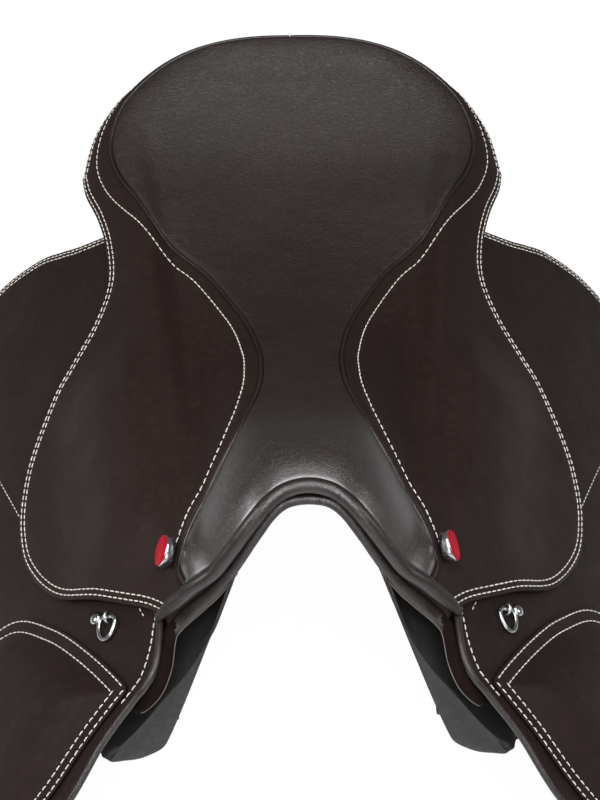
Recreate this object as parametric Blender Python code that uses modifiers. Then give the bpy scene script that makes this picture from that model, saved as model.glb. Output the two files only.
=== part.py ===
import math

import bmesh
import bpy
import numpy as np
from mathutils import Matrix, Vector

# A close-contact jumping saddle. +X is the rider's left, -Y the pommel, +Z up, all in metres.

# overall sizes
seat_length = 0.440
seat_half_width = 0.130
nail_spacing = 0.152
pommel_height = 0.150
waist_height = 0.096
cantle_height = 0.190
flap_drop = 0.383
flap_front_reach = 0.318
flap_rear_reach = 0.145
skirt_reach = 0.177

# leather, steel and padding
seat_hide = 0.0025
skirt_hide = 0.0045
flap_hide = 0.0035
sweat_flap_hide = 0.003
foam_depth = 0.008
tree_thickness = 0.0075
steel_sheet = 0.002
welt_radius = 0.0016
roll_radius = 0.0045
clearance = 0.0003

# stirrup bar and its catch
bar_front = -0.164
bar_length = 0.098
bar_inner = 0.014
bar_width = 0.020
blade_thickness = 0.0042
leather_slot = 0.0068
bar_recess = 0.004
catch_pin_radius = 0.0014
pin_play = 0.00006
catch_travel = 20.0

# girth billets and the guard that slides on them
billet_width = 0.025
billet_pitch = 0.039
billet_thickness = 0.0035
billet_length = 0.285
guard_travel = 0.030

# nails, studs and rings
nail_radius = 0.0092
nail_height = 0.0060
nail_seat = 0.0026
nail_lean = 0.6
cap_radius = 0.0084
cap_thickness = 0.0016
stud_radius = 0.0042
ring_wire = 0.0013
ring_width = 0.0145
ring_length = 0.0130

# the line that flap and skirt fold on, measured down the flap from the nail line, and how far each lifts
hinge_reach = 0.048
flap_lift = 70.0
skirt_lift = 45.0

along = seat_length / 0.440
across = seat_half_width / 0.130
skirt_gap = 0.0008
outer_fillet = 0.030
inner_fillet = 0.010
skirt_rise = leather_slot - bar_recess + blade_thickness + 0.0032 - skirt_gap

# cross sections of seat and skirt, from the pommel back to the cantle
stations = np.array([-0.240, -0.200, -0.150, -0.100, -0.050, 0.0, 0.050, 0.100, 0.150, 0.200, 0.250]) * along
drop_to_waist = np.array([0, 0, 0.13, 0.39, 0.685, 0.907, 1])
crown = np.concatenate([
    pommel_height - (pommel_height - waist_height) * drop_to_waist,
    waist_height + (cantle_height - waist_height) * np.array([0.032, 0.165, 0.50, 0.98]),
])
shoulder = np.array([0.026, 0.030, 0.032, 0.034, 0.048, 0.068, 0.092, 0.112, 0.128, 0.130, 0.130]) * across
shoulder_round = np.array([9, 9, 9, 9, 12, 12, 11, 9, 8, 8, 8]) * 0.001
side_fall = np.array([1.75, 1.75, 1.35, 1.05, 0.95, 1.0, 1.2, 1.5, 2.0, 2.2, 2.2])
hollow = np.array([0, 0, 0, 0, 0, 0, 4, 8, 10, 8, 6]) * 0.001
cantle_start = 0.150 * along
cantle_depth = 0.078 * along
cantle_round = 2.4

# the flap's surface: a gutter swept along the nail line, steeper toward the bottom
nail_line_front = np.array([0.070 * across, -0.200 * along, pommel_height - 0.067])
nail_line_rear = np.array([0.112 * across, 0.120 * along, waist_height - 0.001])
flap_slope_top = math.radians(42)
flap_slope_bottom = math.radians(74)
sweat_slope_top = math.radians(47)
sweat_slope_bottom = math.radians(74)


def arc_table(slope_top, slope_bottom, reach):
    s = np.arange(-0.080, 0.4600, 0.001)
    angle = slope_top + (slope_bottom - slope_top) * np.clip(np.maximum(s, 0) / reach, 0, 1.2) ** 1.5
    step = 0.001
    out = np.concatenate([[0], np.cumsum((np.cos(angle[1:]) + np.cos(angle[:-1])) * step / 2)])
    down = np.concatenate([[0], np.cumsum((np.sin(angle[1:]) + np.sin(angle[:-1])) * step / 2)])
    return s, out - out[80], down - down[80], angle


flap_arc = arc_table(flap_slope_top, flap_slope_bottom, flap_drop)
sweat_arc = arc_table(sweat_slope_top, sweat_slope_bottom, flap_drop * 0.87)


def at_station(values, y):
    place = np.interp(y, stations, np.arange(len(stations)))
    i = np.clip(place.astype(int), 0, len(stations) - 2)
    u = place - i
    a, b, c, d = (values[np.clip(i + k, 0, len(values) - 1)] for k in (-1, 0, 1, 2))
    return 0.5 * (2 * b + (c - a) * u + (2 * a - 5 * b + 4 * c - d) * u**2 + (3 * b - a - 3 * c + d) * u**3)


def nail_line(y):
    k = (y - nail_line_front[1]) / (nail_line_rear[1] - nail_line_front[1])
    return (
        nail_line_front[0] + (nail_line_rear[0] - nail_line_front[0]) * k,
        nail_line_front[2] + (nail_line_rear[2] - nail_line_front[2]) * k,
    )


def step(x, low, high):
    t = np.clip((x - low) / (high - low), 0, 1)
    return t * t * (3 - 2 * t)


def over_bar(y, s):
    ahead = step(y, (bar_front - 0.024), bar_front + 0.002)
    behind = 1 - step(y, bar_front + bar_length + 0.012, bar_front + bar_length + 0.040)
    inside = step(s, bar_inner - 0.020, bar_inner - 0.002)
    outside = 1 - step(s, bar_inner + bar_width + 0.0005, hinge_reach - 0.0045)
    return ahead * behind * inside * outside


def bar_swell(y, s):
    ahead = step(y, bar_front - 0.052, bar_front + 0.002)
    behind = 1 - step(y, bar_front + bar_length + 0.012, bar_front + bar_length + 0.070)
    inside = step(s, bar_inner - 0.026, bar_inner - 0.002)
    outside = 1 - step(s, bar_inner + bar_width + 0.0005, hinge_reach - 0.0045)
    return ahead * behind * inside * outside


def flap_point(y, s, lift=0.0, arc=None, inset=(0.0, 0.0)):
    table = flap_arc if arc is None else arc
    line_x, line_z = nail_line(y)
    out = np.interp(s, table[0], table[1])
    down = np.interp(s, table[0], table[2])
    angle = np.interp(s, table[0], table[3])
    return np.stack([
        line_x - inset[0] + out + lift * np.sin(angle),
        y + 0 * out,
        line_z - inset[1] - down + lift * np.cos(angle),
    ], -1)


def sweat_point(y, s, lift=0.0):
    return flap_point(y, s, lift, sweat_arc, (0.011, 0.015))


def flap_height(x, y, lift, rise):
    line_x, line_z = nail_line(y)
    out = np.abs(x) - line_x
    s = np.interp(np.maximum(out, 0), flap_arc[1], flap_arc[0])
    down = np.interp(s, flap_arc[0], flap_arc[2])
    angle = np.interp(s, flap_arc[0], flap_arc[3])
    tuck = np.where(out < 0, math.tan(flap_slope_top) * out + out * out / 0.012, 0)
    foot = s - (lift + 0.75 * rise) * np.tan(angle)
    bulge = rise * bar_swell(y, foot)
    return line_z - down + (lift + bulge) / np.cos(angle) - tuck


def plan_arc(x, y):
    return np.interp(np.abs(x) - nail_line(y)[0], flap_arc[1], flap_arc[0])


def seat_height(x, y):
    x = np.abs(x)
    y = np.minimum(y, 0.260 * along)
    behind = np.maximum(y - cantle_start, 0) / cantle_depth
    widest = at_station(shoulder, np.array(cantle_start))
    reach = widest * ((x / widest) ** cantle_round + behind**cantle_round) ** (1 / cantle_round)
    reach = np.where(y > cantle_start, reach, x)
    edge = at_station(shoulder, np.minimum(y, cantle_start))
    soft = at_station(shoulder_round, y)
    fall = np.logaddexp(0, (reach - edge) / soft) + np.logaddexp(0, (-reach - edge) / soft)
    fall = (fall - 2 * np.logaddexp(0, -edge / soft)) * soft * at_station(side_fall, y)
    cup = at_station(hollow, y) * (1 - np.exp(-((x / (0.8 * edge)) ** 2)))
    return at_station(crown, y) - fall + cup


def upper_height(x, y, rise):
    a = seat_height(x, y)
    b = flap_height(x, y, skirt_hide + skirt_gap, rise)
    soft = outer_fillet if rise else inner_fillet
    h = np.maximum(soft - np.abs(a - b), 0) / soft
    return np.maximum(a, b) + h * h * soft / 4


def skin(x, y, depth=0.0, rise=skirt_rise):
    x = np.asarray(x, float)
    y = np.asarray(y, float)
    e = 0.0015
    z = upper_height(x, y, rise)
    gx = (upper_height(x + e, y, rise) - upper_height(x - e, y, rise)) / (2 * e)
    gy = (upper_height(x, y + e, rise) - upper_height(x, y - e, rise)) / (2 * e)
    size = np.sqrt(1 + gx * gx + gy * gy)
    return np.stack([x + depth * gx / size, y + depth * gy / size, z - depth / size], -1)


def under(x, y, depth):
    return skin(x, y, depth, 0.0)


def smooth_path(points, count, closed=False):
    p = np.array(points, float)
    if closed:
        p = np.vstack([p[-1:], p, p[:2]])
    else:
        p = np.vstack([2 * p[0] - p[1], p, 2 * p[-1] - p[-2]])
    dense = []
    for i in range(1, len(p) - 2):
        for u in np.linspace(0, 1, 24, endpoint=False):
            a, b, c, d = p[i - 1], p[i], p[i + 1], p[i + 2]
            dense.append(0.5 * (2 * b + (c - a) * u + (2 * a - 5 * b + 4 * c - d) * u * u
                                + (3 * b - a - 3 * c + d) * u**3))
    dense.append(p[-2])
    dense = np.array(dense)
    run = np.concatenate([[0], np.cumsum(np.linalg.norm(np.diff(dense, axis=0), axis=1))])
    place = np.linspace(0, run[-1], count)
    return np.stack([np.interp(place, run, dense[:, k]) for k in range(p.shape[1])], -1)


def patch(start, end, left, right, rows, columns, spread=1.0):
    a = smooth_path(start, columns)
    b = smooth_path(end, columns)
    c = smooth_path(left, rows)
    d = smooth_path(right, rows)
    v = np.linspace(0, 1, rows)[:, None, None]
    u = (np.linspace(0, 1, columns) ** spread)[None, :, None]
    if spread != 1.0:
        a = a[0] + (a[-1] - a[0]) * u[0]
        b = b[0] + (b[-1] - b[0]) * u[0]
    corners = (1 - u) * (1 - v) * a[0] + u * (1 - v) * a[-1] + (1 - u) * v * b[0] + u * v * b[-1]
    return (1 - v) * a[None] + v * b[None] + (1 - u) * c[:, None] + u * d[:, None] - corners


# scene set-up and helpers

for old in list(bpy.data.objects):
    bpy.data.objects.remove(old, do_unlink=True)
saddle = bpy.data.collections.new("jumping_saddle")
cutters = bpy.data.collections.new("cutters")
bpy.context.scene.collection.children.link(saddle)
bpy.context.scene.collection.children.link(cutters)

sides = (("left", 1), ("right", -1))
crease_angle = math.radians(35)
finishes = {
    "leather": ((0.030, 0.020, 0.017, 1), 0.0, 0.45),
    "lining": ((0.060, 0.045, 0.038, 1), 0.0, 0.55),
    "laminate": ((0.42, 0.29, 0.16, 1), 0.0, 0.6),
    "steel": ((0.62, 0.62, 0.62, 1), 1.0, 0.3),
    "webbing": ((0.52, 0.46, 0.34, 1), 0.0, 0.8),
    "foam": ((0.75, 0.71, 0.55, 1), 0.0, 0.9),
    "red": ((0.55, 0.0, 0.02, 1), 0.0, 0.35),
}


def finish(obj, kind):
    colour, metallic, rough = finishes[kind]
    material = bpy.data.materials.new(obj.name + "_" + kind)
    material.use_nodes = True
    shader = material.node_tree.nodes["Principled BSDF"]
    shader.inputs["Base Color"].default_value = colour
    shader.inputs["Metallic"].default_value = metallic
    shader.inputs["Roughness"].default_value = rough
    obj.data.materials.append(material)


def to_object(bm, name, kind, origin=None):
    base = Vector(origin) if origin is not None else Vector((0, 0, 0))
    mesh = bpy.data.meshes.new(name)
    bmesh.ops.translate(bm, verts=bm.verts[:], vec=-base)
    bm.to_mesh(mesh)
    bm.free()
    mesh.shade_smooth()
    mesh.set_sharp_from_angle(angle=crease_angle)
    obj = bpy.data.objects.new(name, mesh)
    saddle.objects.link(obj)
    obj.location = base
    finish(obj, kind)
    return obj


def solid(bm, name, kind, origin=None):
    bmesh.ops.recalc_face_normals(bm, faces=bm.faces[:])
    return to_object(bm, name, kind, origin)


def ringed(bm, loops, closed=False):
    rings = [[bm.verts.new(Vector(p)) for p in loop] for loop in loops]
    pairs = list(zip(rings, rings[1:] + rings[:1])) if closed else list(zip(rings, rings[1:]))
    for a, b in pairs:
        for i in range(len(a)):
            j = (i + 1) % len(a)
            bm.faces.new((a[i], a[j], b[j], b[i]))
    return rings


def sheet(name, points, thickness, kind, origin=None):
    rows, columns = points.shape[:2]
    bm = bmesh.new()
    bmesh.ops.create_grid(bm, x_segments=columns - 1, y_segments=rows - 1, size=1)
    bm.verts.ensure_lookup_table()
    order = sorted(bm.verts, key=lambda v: (round(v.co.y, 5), round(v.co.x, 5)))
    for vert, point in zip(order, points.reshape(-1, 3)):
        vert.co = Vector(point)
    bmesh.ops.recalc_face_normals(bm, faces=bm.faces[:])
    if sum(f.normal.z for f in bm.faces) < 0:
        bmesh.ops.reverse_faces(bm, faces=bm.faces[:])
    obj = to_object(bm, name, kind, origin)
    thick = obj.modifiers.new("hide", "SOLIDIFY")
    thick.thickness = thickness
    thick.offset = -1
    return obj


def loft(name, loops, kind, origin=None):
    bm = bmesh.new()
    rings = ringed(bm, loops)
    bm.faces.new(rings[0])
    bm.faces.new(rings[-1])
    return solid(bm, name, kind, origin)


def cushion(name, bottom, top, kind, origin=None):
    bm = bmesh.new()
    rings = ringed(bm, [list(high) + list(low[::-1]) for high, low in zip(top, bottom)])
    for ring in (rings[0], rings[-1]):
        for i in range(top.shape[1] - 1):
            bm.faces.new((ring[i], ring[i + 1], ring[-2 - i], ring[-1 - i]))
    return solid(bm, name, kind, origin)


def rope(name, path, radius, kind, closed=False, origin=None, round_steps=2):
    base = Vector(origin) if origin is not None else Vector((0, 0, 0))
    curve = bpy.data.curves.new(name, "CURVE")
    curve.dimensions = "3D"
    curve.bevel_depth = radius
    curve.bevel_resolution = round_steps
    curve.use_fill_caps = True
    run = curve.splines.new("POLY")
    run.points.add(len(path) - 1)
    for point, p in zip(run.points, path):
        point.co = (*(Vector(p) - base), 1)
    run.use_cyclic_u = closed
    obj = bpy.data.objects.new(name, curve)
    saddle.objects.link(obj)
    obj.location = base
    finish(obj, kind)
    return obj


def turned(name, base, axis, profile, kind, sides=24):
    bm = bmesh.new()
    verts = [bm.verts.new((r, 0, z)) for r, z in profile]
    for a, b in zip(verts, verts[1:]):
        bm.edges.new((a, b))
    mesh = bpy.data.meshes.new(name)
    bm.to_mesh(mesh)
    bm.free()
    obj = bpy.data.objects.new(name, mesh)
    saddle.objects.link(obj)
    obj.location = Vector(base)
    obj.rotation_mode = "QUATERNION"
    obj.rotation_quaternion = Vector(axis).normalized().to_track_quat("Z", "Y")
    spin = obj.modifiers.new("turn", "SCREW")
    spin.steps = sides
    spin.render_steps = sides
    spin.use_smooth_shade = True
    spin.use_merge_vertices = True
    spin.merge_threshold = 0.00001
    finish(obj, kind)
    return obj


def cutter(name, bm):
    bmesh.ops.recalc_face_normals(bm, faces=bm.faces[:])
    mesh = bpy.data.meshes.new(name)
    bm.to_mesh(mesh)
    bm.free()
    obj = bpy.data.objects.new(name, mesh)
    cutters.objects.link(obj)
    obj.hide_render = True
    obj.display_type = "WIRE"
    return obj


def cut(target, tool):
    mod = target.modifiers.new("cut_" + tool.name, "BOOLEAN")
    mod.object = tool
    mod.operation = "DIFFERENCE"
    mod.solver = "EXACT"


def mirrored(points, side):
    q = np.array(points, float)
    q[..., 0] *= side
    return q


def scaled(points):
    return np.array(points, float) * np.array([across, along])


def pommel_y(x):
    spread = (np.sqrt(x * x + 0.0001) - 0.010) / 0.0696 / across
    return (-0.2045 - 0.0325 * np.maximum(spread, 0) ** 1.15) * along


def spline(points, per_segment):
    p = np.array(points, float)
    p = np.vstack([2 * p[0] - p[1], p, 2 * p[-1] - p[-2]])
    out = []
    for i in range(1, len(p) - 2):
        for u in np.linspace(0, 1, per_segment, endpoint=False):
            a, b, c, d = p[i - 1], p[i], p[i + 1], p[i + 2]
            out.append(0.5 * (2 * b + (c - a) * u + (2 * a - 5 * b + 4 * c - d) * u * u
                              + (3 * b - a - 3 * c + d) * u**3))
    out.append(p[-2])
    return np.array(out)


def shifted(path, distance):
    ahead = np.gradient(path, axis=0)
    ahead /= np.linalg.norm(ahead, axis=1)[:, None]
    return path + distance * np.stack([ahead[:, 1], -ahead[:, 0]], -1)


def between(path, start, end):
    a = np.linalg.norm(path - np.array(start), axis=1).argmin()
    b = np.linalg.norm(path - np.array(end), axis=1).argmin()
    return path[a:b + 1]


# plan outlines, rider's left side

seam_side = scaled([
    (0.0660, -0.2300), (0.0715, -0.2140), (0.0705, -0.2030), (0.0620, -0.1830), (0.0500, -0.1650),
    (0.0390, -0.1465), (0.0305, -0.1250), (0.0255, -0.1030), (0.0242, -0.0820), (0.0255, -0.0550),
    (0.0345, -0.0130), (0.0560, 0.0350), (0.0800, 0.0660), (0.1025, 0.1010), (0.1190, 0.1330),
    (0.1250, 0.1600), (0.1170, 0.1870),
])
seam_cantle = scaled([(0.1170, 0.1870), (0.0970, 0.2060), (0.0665, 0.2190), (0.0350, 0.2248), (0, 0.2262)])
skirt_out = skirt_reach / (0.177 * across)
skirt_edge = scaled([
    (0.0790, -0.2370), (0.0930, -0.2190), (0.1190, -0.1960), (0.1490 * skirt_out, -0.1680),
    (0.1690 * skirt_out, -0.1320), (0.1765 * skirt_out, -0.0990), (0.1765 * skirt_out, -0.0700),
    (0.1715 * skirt_out, -0.0430), (0.1580 * skirt_out, -0.0100), (0.1460, 0.0060), (0.1320, 0.0250),
    (0.1240, 0.0490), (0.1260, 0.0800), (0.1330, 0.1100), (0.1425, 0.1380), (0.1460, 0.1550),
])
cantle_edge = scaled([
    (0.1460, 0.1550), (0.1380, 0.1870), (0.1227, 0.2060), (0.1033, 0.2190), (0.0740, 0.2300),
    (0.0428, 0.2360), (0, 0.2376),
])
seam_path = np.vstack([smooth_path(seam_side, 200)[:-1], smooth_path(seam_cantle, 80)])
edge_path = np.vstack([smooth_path(skirt_edge, 320)[:-1], smooth_path(cantle_edge, 100)])
fold_top = skirt_hide + skirt_gap


def fold_x(y):
    return flap_point(np.asarray(y, float), hinge_reach, fold_top)[..., 0]


def fold_path(start_y, end_y, shift):
    y = np.linspace(start_y, end_y, 40)
    return np.stack([fold_x(y) + shift, y], -1)


beyond = np.where(edge_path[:, 0] > fold_x(edge_path[:, 1]) + 0.002)[0]
fold_front = edge_path[beyond[0], 1]
fold_rear = edge_path[beyond[-1], 1]
fold_origin = flap_point(np.array(fold_front), hinge_reach, fold_top)
fold_end = flap_point(np.array(fold_rear), hinge_reach, fold_top)
fold_axis = (fold_end - fold_origin) / np.linalg.norm(fold_end - fold_origin)


def tree_depth(x, y, pocket=1.0):
    x = np.abs(x)
    line_x = nail_line(y)[0]
    head = 0.0065 + 0.0084 * step(x, 0.045 * across, 0.075 * across)
    rail = 0.0160 - 0.0010 * step(x, line_x - 0.025, line_x - 0.005)
    lower = over_bar(y, plan_arc(x, y)) * (bar_recess + 0.0012)
    back = step(y, -0.176 * along, -0.138 * along)
    return head * (1 - back) + rail * back + lower * pocket


def tree_underside(x, y):
    return tree_depth(x, y, 0.15) + tree_thickness


# seat: cover, foam, webs and canvas

cover_gap = welt_radius + 0.0010
cover_side = shifted(smooth_path(seam_side, 120), -cover_gap)
cover_back = shifted(smooth_path(seam_cantle, 60), -cover_gap - 0.0011)
cover_side = cover_side[cover_side[:, 1] <= cover_back[0, 1]]
front_x = np.linspace(-1, 1, 31) * cover_side[0, 0]
cover_front = np.stack([front_x, pommel_y(front_x) + 0.001], -1)
cover_side = np.vstack([cover_front[-1:], cover_side[2:]])
cover_back = np.vstack([cover_side[-1:], cover_back[2:]])
cover_back = np.vstack([cover_back * [-1, 1], cover_back[-2::-1]])


def seat_patch(front, side, back, rows, columns):
    return patch(front, back, side * [-1, 1], side, rows, columns)


cover_plan = seat_patch(cover_front, cover_side, cover_back, 25, 13)
sheet("seat_cover", skin(cover_plan[..., 0], cover_plan[..., 1]), seat_hide, "leather")

foam_from = int(np.argmax(cover_plan[:, 6, 1] > -0.122 * along))
foam_plan = cover_plan[foam_from:-1, 1:-1]
foam_top = under(foam_plan[..., 0], foam_plan[..., 1], seat_hide + 0.0004)
sheet("seat_foam", foam_top, foam_depth - 0.0008, "foam")

for name, side in sides:
    web_x = np.linspace(0.011, 0.035, 3) * across
    plan = np.stack(np.meshgrid(web_x, np.linspace(-0.172, 0.206, 19) * along), -1)
    depth = tree_depth(plan[..., 0], plan[..., 1]) - 0.0031
    top = under(plan[..., 0], plan[..., 1], depth)
    sheet("straining_web_" + name, mirrored(top, side), 0.0014, "webbing")
canvas_rows = (cover_plan[:, 6, 1] > 0.005 * along) & (cover_plan[:, 6, 1] < 0.140 * along)
canvas_plan = cover_plan[canvas_rows, 2:-2]
canvas_depth = tree_depth(canvas_plan[..., 0], canvas_plan[..., 1]) - 0.0054
sheet("seat_canvas", under(canvas_plan[..., 0], canvas_plan[..., 1], canvas_depth), 0.0010, "webbing")

# tree: one laminated frame, head, points, rails and cantle

tree_outer = scaled([
    (0, -0.200), (0.030, -0.2045), (0.055, -0.212), (0.088, -0.213), (0.120, -0.192), (0.122, -0.150),
    (0.119, -0.100), (0.109, -0.062), (0.088, -0.028), (0.088, 0.020), (0.098, 0.070), (0.108, 0.120),
    (0.112, 0.160), (0.096, 0.192), (0.050, 0.210), (0, 0.213),
])
tree_inner = scaled([
    (0, -0.168), (0.020, -0.166), (0.034, -0.160), (0.040, -0.148), (0.0425, -0.130), (0.044, -0.110),
    (0.0455, -0.080), (0.048, -0.050), (0.053, -0.020), (0.062, 0.025), (0.073, 0.070), (0.082, 0.120),
    (0.082, 0.152), (0.066, 0.178), (0.035, 0.188), (0, 0.190),
])
outer_half = spline(tree_outer, 2)
inner_half = spline(tree_inner, 2)
tree_ribs = []
for sign, order in ((1, range(len(outer_half))), (-1, range(len(outer_half) - 2, 0, -1))):
    for i in order:
        k = np.linspace(0, 1, 5)[:, None]
        plan = (inner_half[i] * (1 - k) + outer_half[i] * k) * [sign, 1]
        depth = tree_depth(plan[:, 0], plan[:, 1])
        top = under(plan[:, 0], plan[:, 1], depth)
        bottom = under(plan[:, 0], plan[:, 1], tree_underside(plan[:, 0], plan[:, 1]))
        tree_ribs.append(list(top) + list(bottom[::-1]))
bm = bmesh.new()
ringed(bm, tree_ribs, closed=True)
solid(bm, "tree_frame", "laminate")

plate_x = np.linspace(-0.056, 0.056, 13) * across
plate_y = np.array([0.004, 0.024]) * along
plate_plan = np.stack([
    np.repeat(plate_x[:, None], 2, 1), pommel_y(plate_x)[:, None] + plate_y[None, :],
], -1)
plate_depth = tree_depth(plate_plan[..., 0], plate_plan[..., 1]) - steel_sheet - 0.0004
plate_depth = np.minimum(plate_depth, 0.0052)
sheet("head_plate", under(plate_plan[..., 0], plate_plan[..., 1], plate_depth), steel_sheet - 0.0004, "steel")

gullet_x = np.linspace(-0.060, 0.060, 13) * across
gullet_y = np.stack([np.full(13, -0.198), np.full(13, -0.176)], -1) * along
gullet_y -= 0.004 * (np.abs(gullet_x)[:, None] > 0.050)
gullet_plan = np.stack([np.repeat(gullet_x[:, None], 2, 1), gullet_y], -1)
gullet_depth = tree_underside(gullet_plan[..., 0], gullet_plan[..., 1]) + 0.0015
sheet("gullet_plate", under(gullet_plan[..., 0], gullet_plan[..., 1], gullet_depth), steel_sheet, "steel")

for name, side in sides:
    y = np.linspace(-0.134, 0.150, 15) * along
    mid = np.interp(y, tree_inner[:, 1], tree_inner[:, 0]) + 0.012
    plan = np.stack([mid[:, None] + np.array([-0.006, 0.006])[None, :], np.repeat(y[:, None], 2, 1)], -1)
    depth = tree_underside(plan[..., 0], plan[..., 1]) + 0.0016
    top = under(plan[..., 0], plan[..., 1], depth)
    sheet("spring_steel_" + name, mirrored(top, side), 0.0015, "steel")

# skirts: a fixed top that runs back as the seat's edge, and the part that lifts

piping_gap = welt_radius + 0.0010
skirt_inner = shifted(seam_path, piping_gap)
skirt_inner = np.vstack([skirt_inner[:-1], [[0.0002, skirt_inner[-1, 1]]]])
first = np.where(edge_path[:, 0] > fold_x(edge_path[:, 1]) - clearance)[0]
skirt_outer = np.vstack([
    edge_path[:first[0]],
    fold_path(edge_path[first[0], 1], edge_path[first[-1], 1], -clearance * 1.4),
    edge_path[first[-1] + 1:-1],
    [[0.0002, edge_path[-1, 1]]],
])
inner_knots = scaled([
    (0.0710, -0.2140), (0.0242, -0.0820), (0.0560, 0.0350), (0.1190, 0.1330), (0.1170, 0.1870),
])
outer_knots = np.array([
    edge_path[first[0]], [fold_x(-0.082 * along), -0.082 * along], edge_path[first[-1]],
    [0.140 * across, 0.131 * along], [0.138 * across, 0.187 * along],
])
row_counts = (2, 9, 6, 4, 3, 6)
fold_bands = np.array([0.0375, 0.0235, 0.0150, 0.0066, 0.0])
ladder = []
inner_cuts = [skirt_inner[0], *inner_knots, skirt_inner[-1]]
outer_cuts = [skirt_outer[0], *outer_knots, skirt_outer[-1]]
for i, rows in enumerate(row_counts):
    left = smooth_path(between(skirt_inner, inner_cuts[i], inner_cuts[i + 1]), rows + 1)
    right = smooth_path(between(skirt_outer, outer_cuts[i], outer_cuts[i + 1]), rows + 1)
    for a, b in list(zip(left, right))[0 if i == 0 else 1:]:
        width = np.linalg.norm(b - a)
        bands = fold_bands * min(1.0, width / 0.065)
        spread = np.concatenate([[width, (width + bands[0]) / 2], bands])[:, None] / width
        ladder.append(b + (a - b) * spread)
skirt_plan = np.array(ladder)

lift_edge = edge_path[beyond[0]:beyond[-1] + 1]
lift_fold = fold_path(fold_front, fold_rear, 0)
lift_plan = patch(
    [lift_fold[0], lift_edge[0]], [lift_fold[-1], lift_edge[-1]], lift_fold, lift_edge, 15, 4
)
for name, side in sides:
    top = mirrored(skin(skirt_plan[..., 0], skirt_plan[..., 1]), side)
    sheet("skirt_top_" + name, top, skirt_hide, "leather")
    top = mirrored(skin(lift_plan[..., 0], lift_plan[..., 1]), side)
    sheet("skirt_" + name, top, skirt_hide, "leather", mirrored(fold_origin, side))

# welts in the seat seams, and the two rolls round the pommel

for name, side in sides:
    run = smooth_path(seam_path, 46)[:-1]
    run[-1, 0] = max(run[-1, 0], welt_radius + 0.0004)
    path = mirrored(skin(run[:, 0], run[:, 1], 0.0009), side)
    rope("welt_" + name, path, welt_radius, "leather", round_steps=1)

roll_x = np.linspace(-0.0785, 0.0785, 27) * across
roll_y = pommel_y(roll_x) - roll_radius - 0.0008
rope("pommel_roll", skin(roll_x, roll_y, 0.0022), roll_radius, "leather")
rope("gullet_roll", skin(roll_x, roll_y - 0.0005, 0.0124), roll_radius, "lining")

facing = []
for k in np.linspace(-1, 1, 23):
    turn = abs(k) * 0.93
    edge = smooth_path(cantle_edge, 101)[int(round((1 - turn) * 100))]
    inner = smooth_path(seam_cantle, 101)[int(round((1 - turn) * 100))]
    spot = inner + (edge - inner) * 0.80
    upper = skin(spot[0], spot[1], skirt_hide + 0.0012)
    low = inner + (edge - inner) * 0.55
    lower = np.array([low[0], low[1], upper[2] * 0.40 + 0.052])
    sign = 1 if k >= 0 else -1
    facing.append([(upper * (1 - u) + lower * u) * [sign, 1, 1] for u in (0, 0.5, 1)])
sheet("cantle_facing", np.array(facing), 0.0018, "leather")

# flaps: the nailed head strip and the part that lifts

head_s = np.array([0.0105, 0.0135, 0.019, 0.026, 0.0345, hinge_reach - 0.0045, hinge_reach - 0.0002])
head_corner = np.array([
    (0.0105, -0.2210), (0.0190, -0.2270), (0.0260, -0.2450), (0.0345, -0.2590), (0.0435, -0.2660), (0.0480, -0.2680),
])
head_front = np.interp(head_s, head_corner[:, 0], head_corner[:, 1]) * along
head_rear = np.interp(head_s, [0.0105, 0.048], [0.100, 0.115]) * along
blend = np.linspace(0, 1, 27)[:, None]
flap_head_y = head_front[None, :] * (1 - blend) + head_rear[None, :] * blend
flap_head_s = np.repeat(head_s[None, :], 27, 0)
head_points = flap_point(flap_head_y, flap_head_s, -bar_recess * over_bar(flap_head_y, flap_head_s))

rear_reach = flap_rear_reach / (0.145 * along)
front_reach = flap_front_reach / (0.318 * along)
drop = flap_drop / 0.383
flap_front = np.array([
    (-0.2680, 0.0482), (-0.2810 * front_reach, 0.0750 * drop), (-0.3040 * front_reach, 0.1100 * drop),
    (-0.3180 * front_reach, 0.1600 * drop), (-0.3130 * front_reach, 0.2150 * drop),
    (-0.2920 * front_reach, 0.2700 * drop), (-0.2550 * front_reach, 0.3200 * drop),
]) * [along, 1]
flap_bottom = np.array([
    (-0.2550 * front_reach, 0.3200 * drop), (-0.1900, 0.3620 * drop), (-0.1100, 0.3820 * drop),
    (-0.0300, 0.3830 * drop), (0.0400, 0.3620 * drop), (0.0880, 0.3150 * drop),
]) * [along, 1]
flap_rear = np.array([
    (0.1160, 0.0482), (0.1250 * rear_reach, 0.0650 * drop), (0.1370 * rear_reach, 0.0900 * drop),
    (0.1450 * rear_reach, 0.1350 * drop), (0.1380 * rear_reach, 0.1900 * drop),
    (0.1180 * rear_reach, 0.2550 * drop), (0.0880, 0.3150 * drop),
]) * [along, 1]
flap_top = np.array([(-0.2680 * along, 0.0482), (0.1160 * along, 0.0482)])
flap_grid = patch(flap_top, flap_bottom, flap_front, flap_rear, 12, 11)
flap_points = flap_point(flap_grid[..., 0], flap_grid[..., 1])

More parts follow.
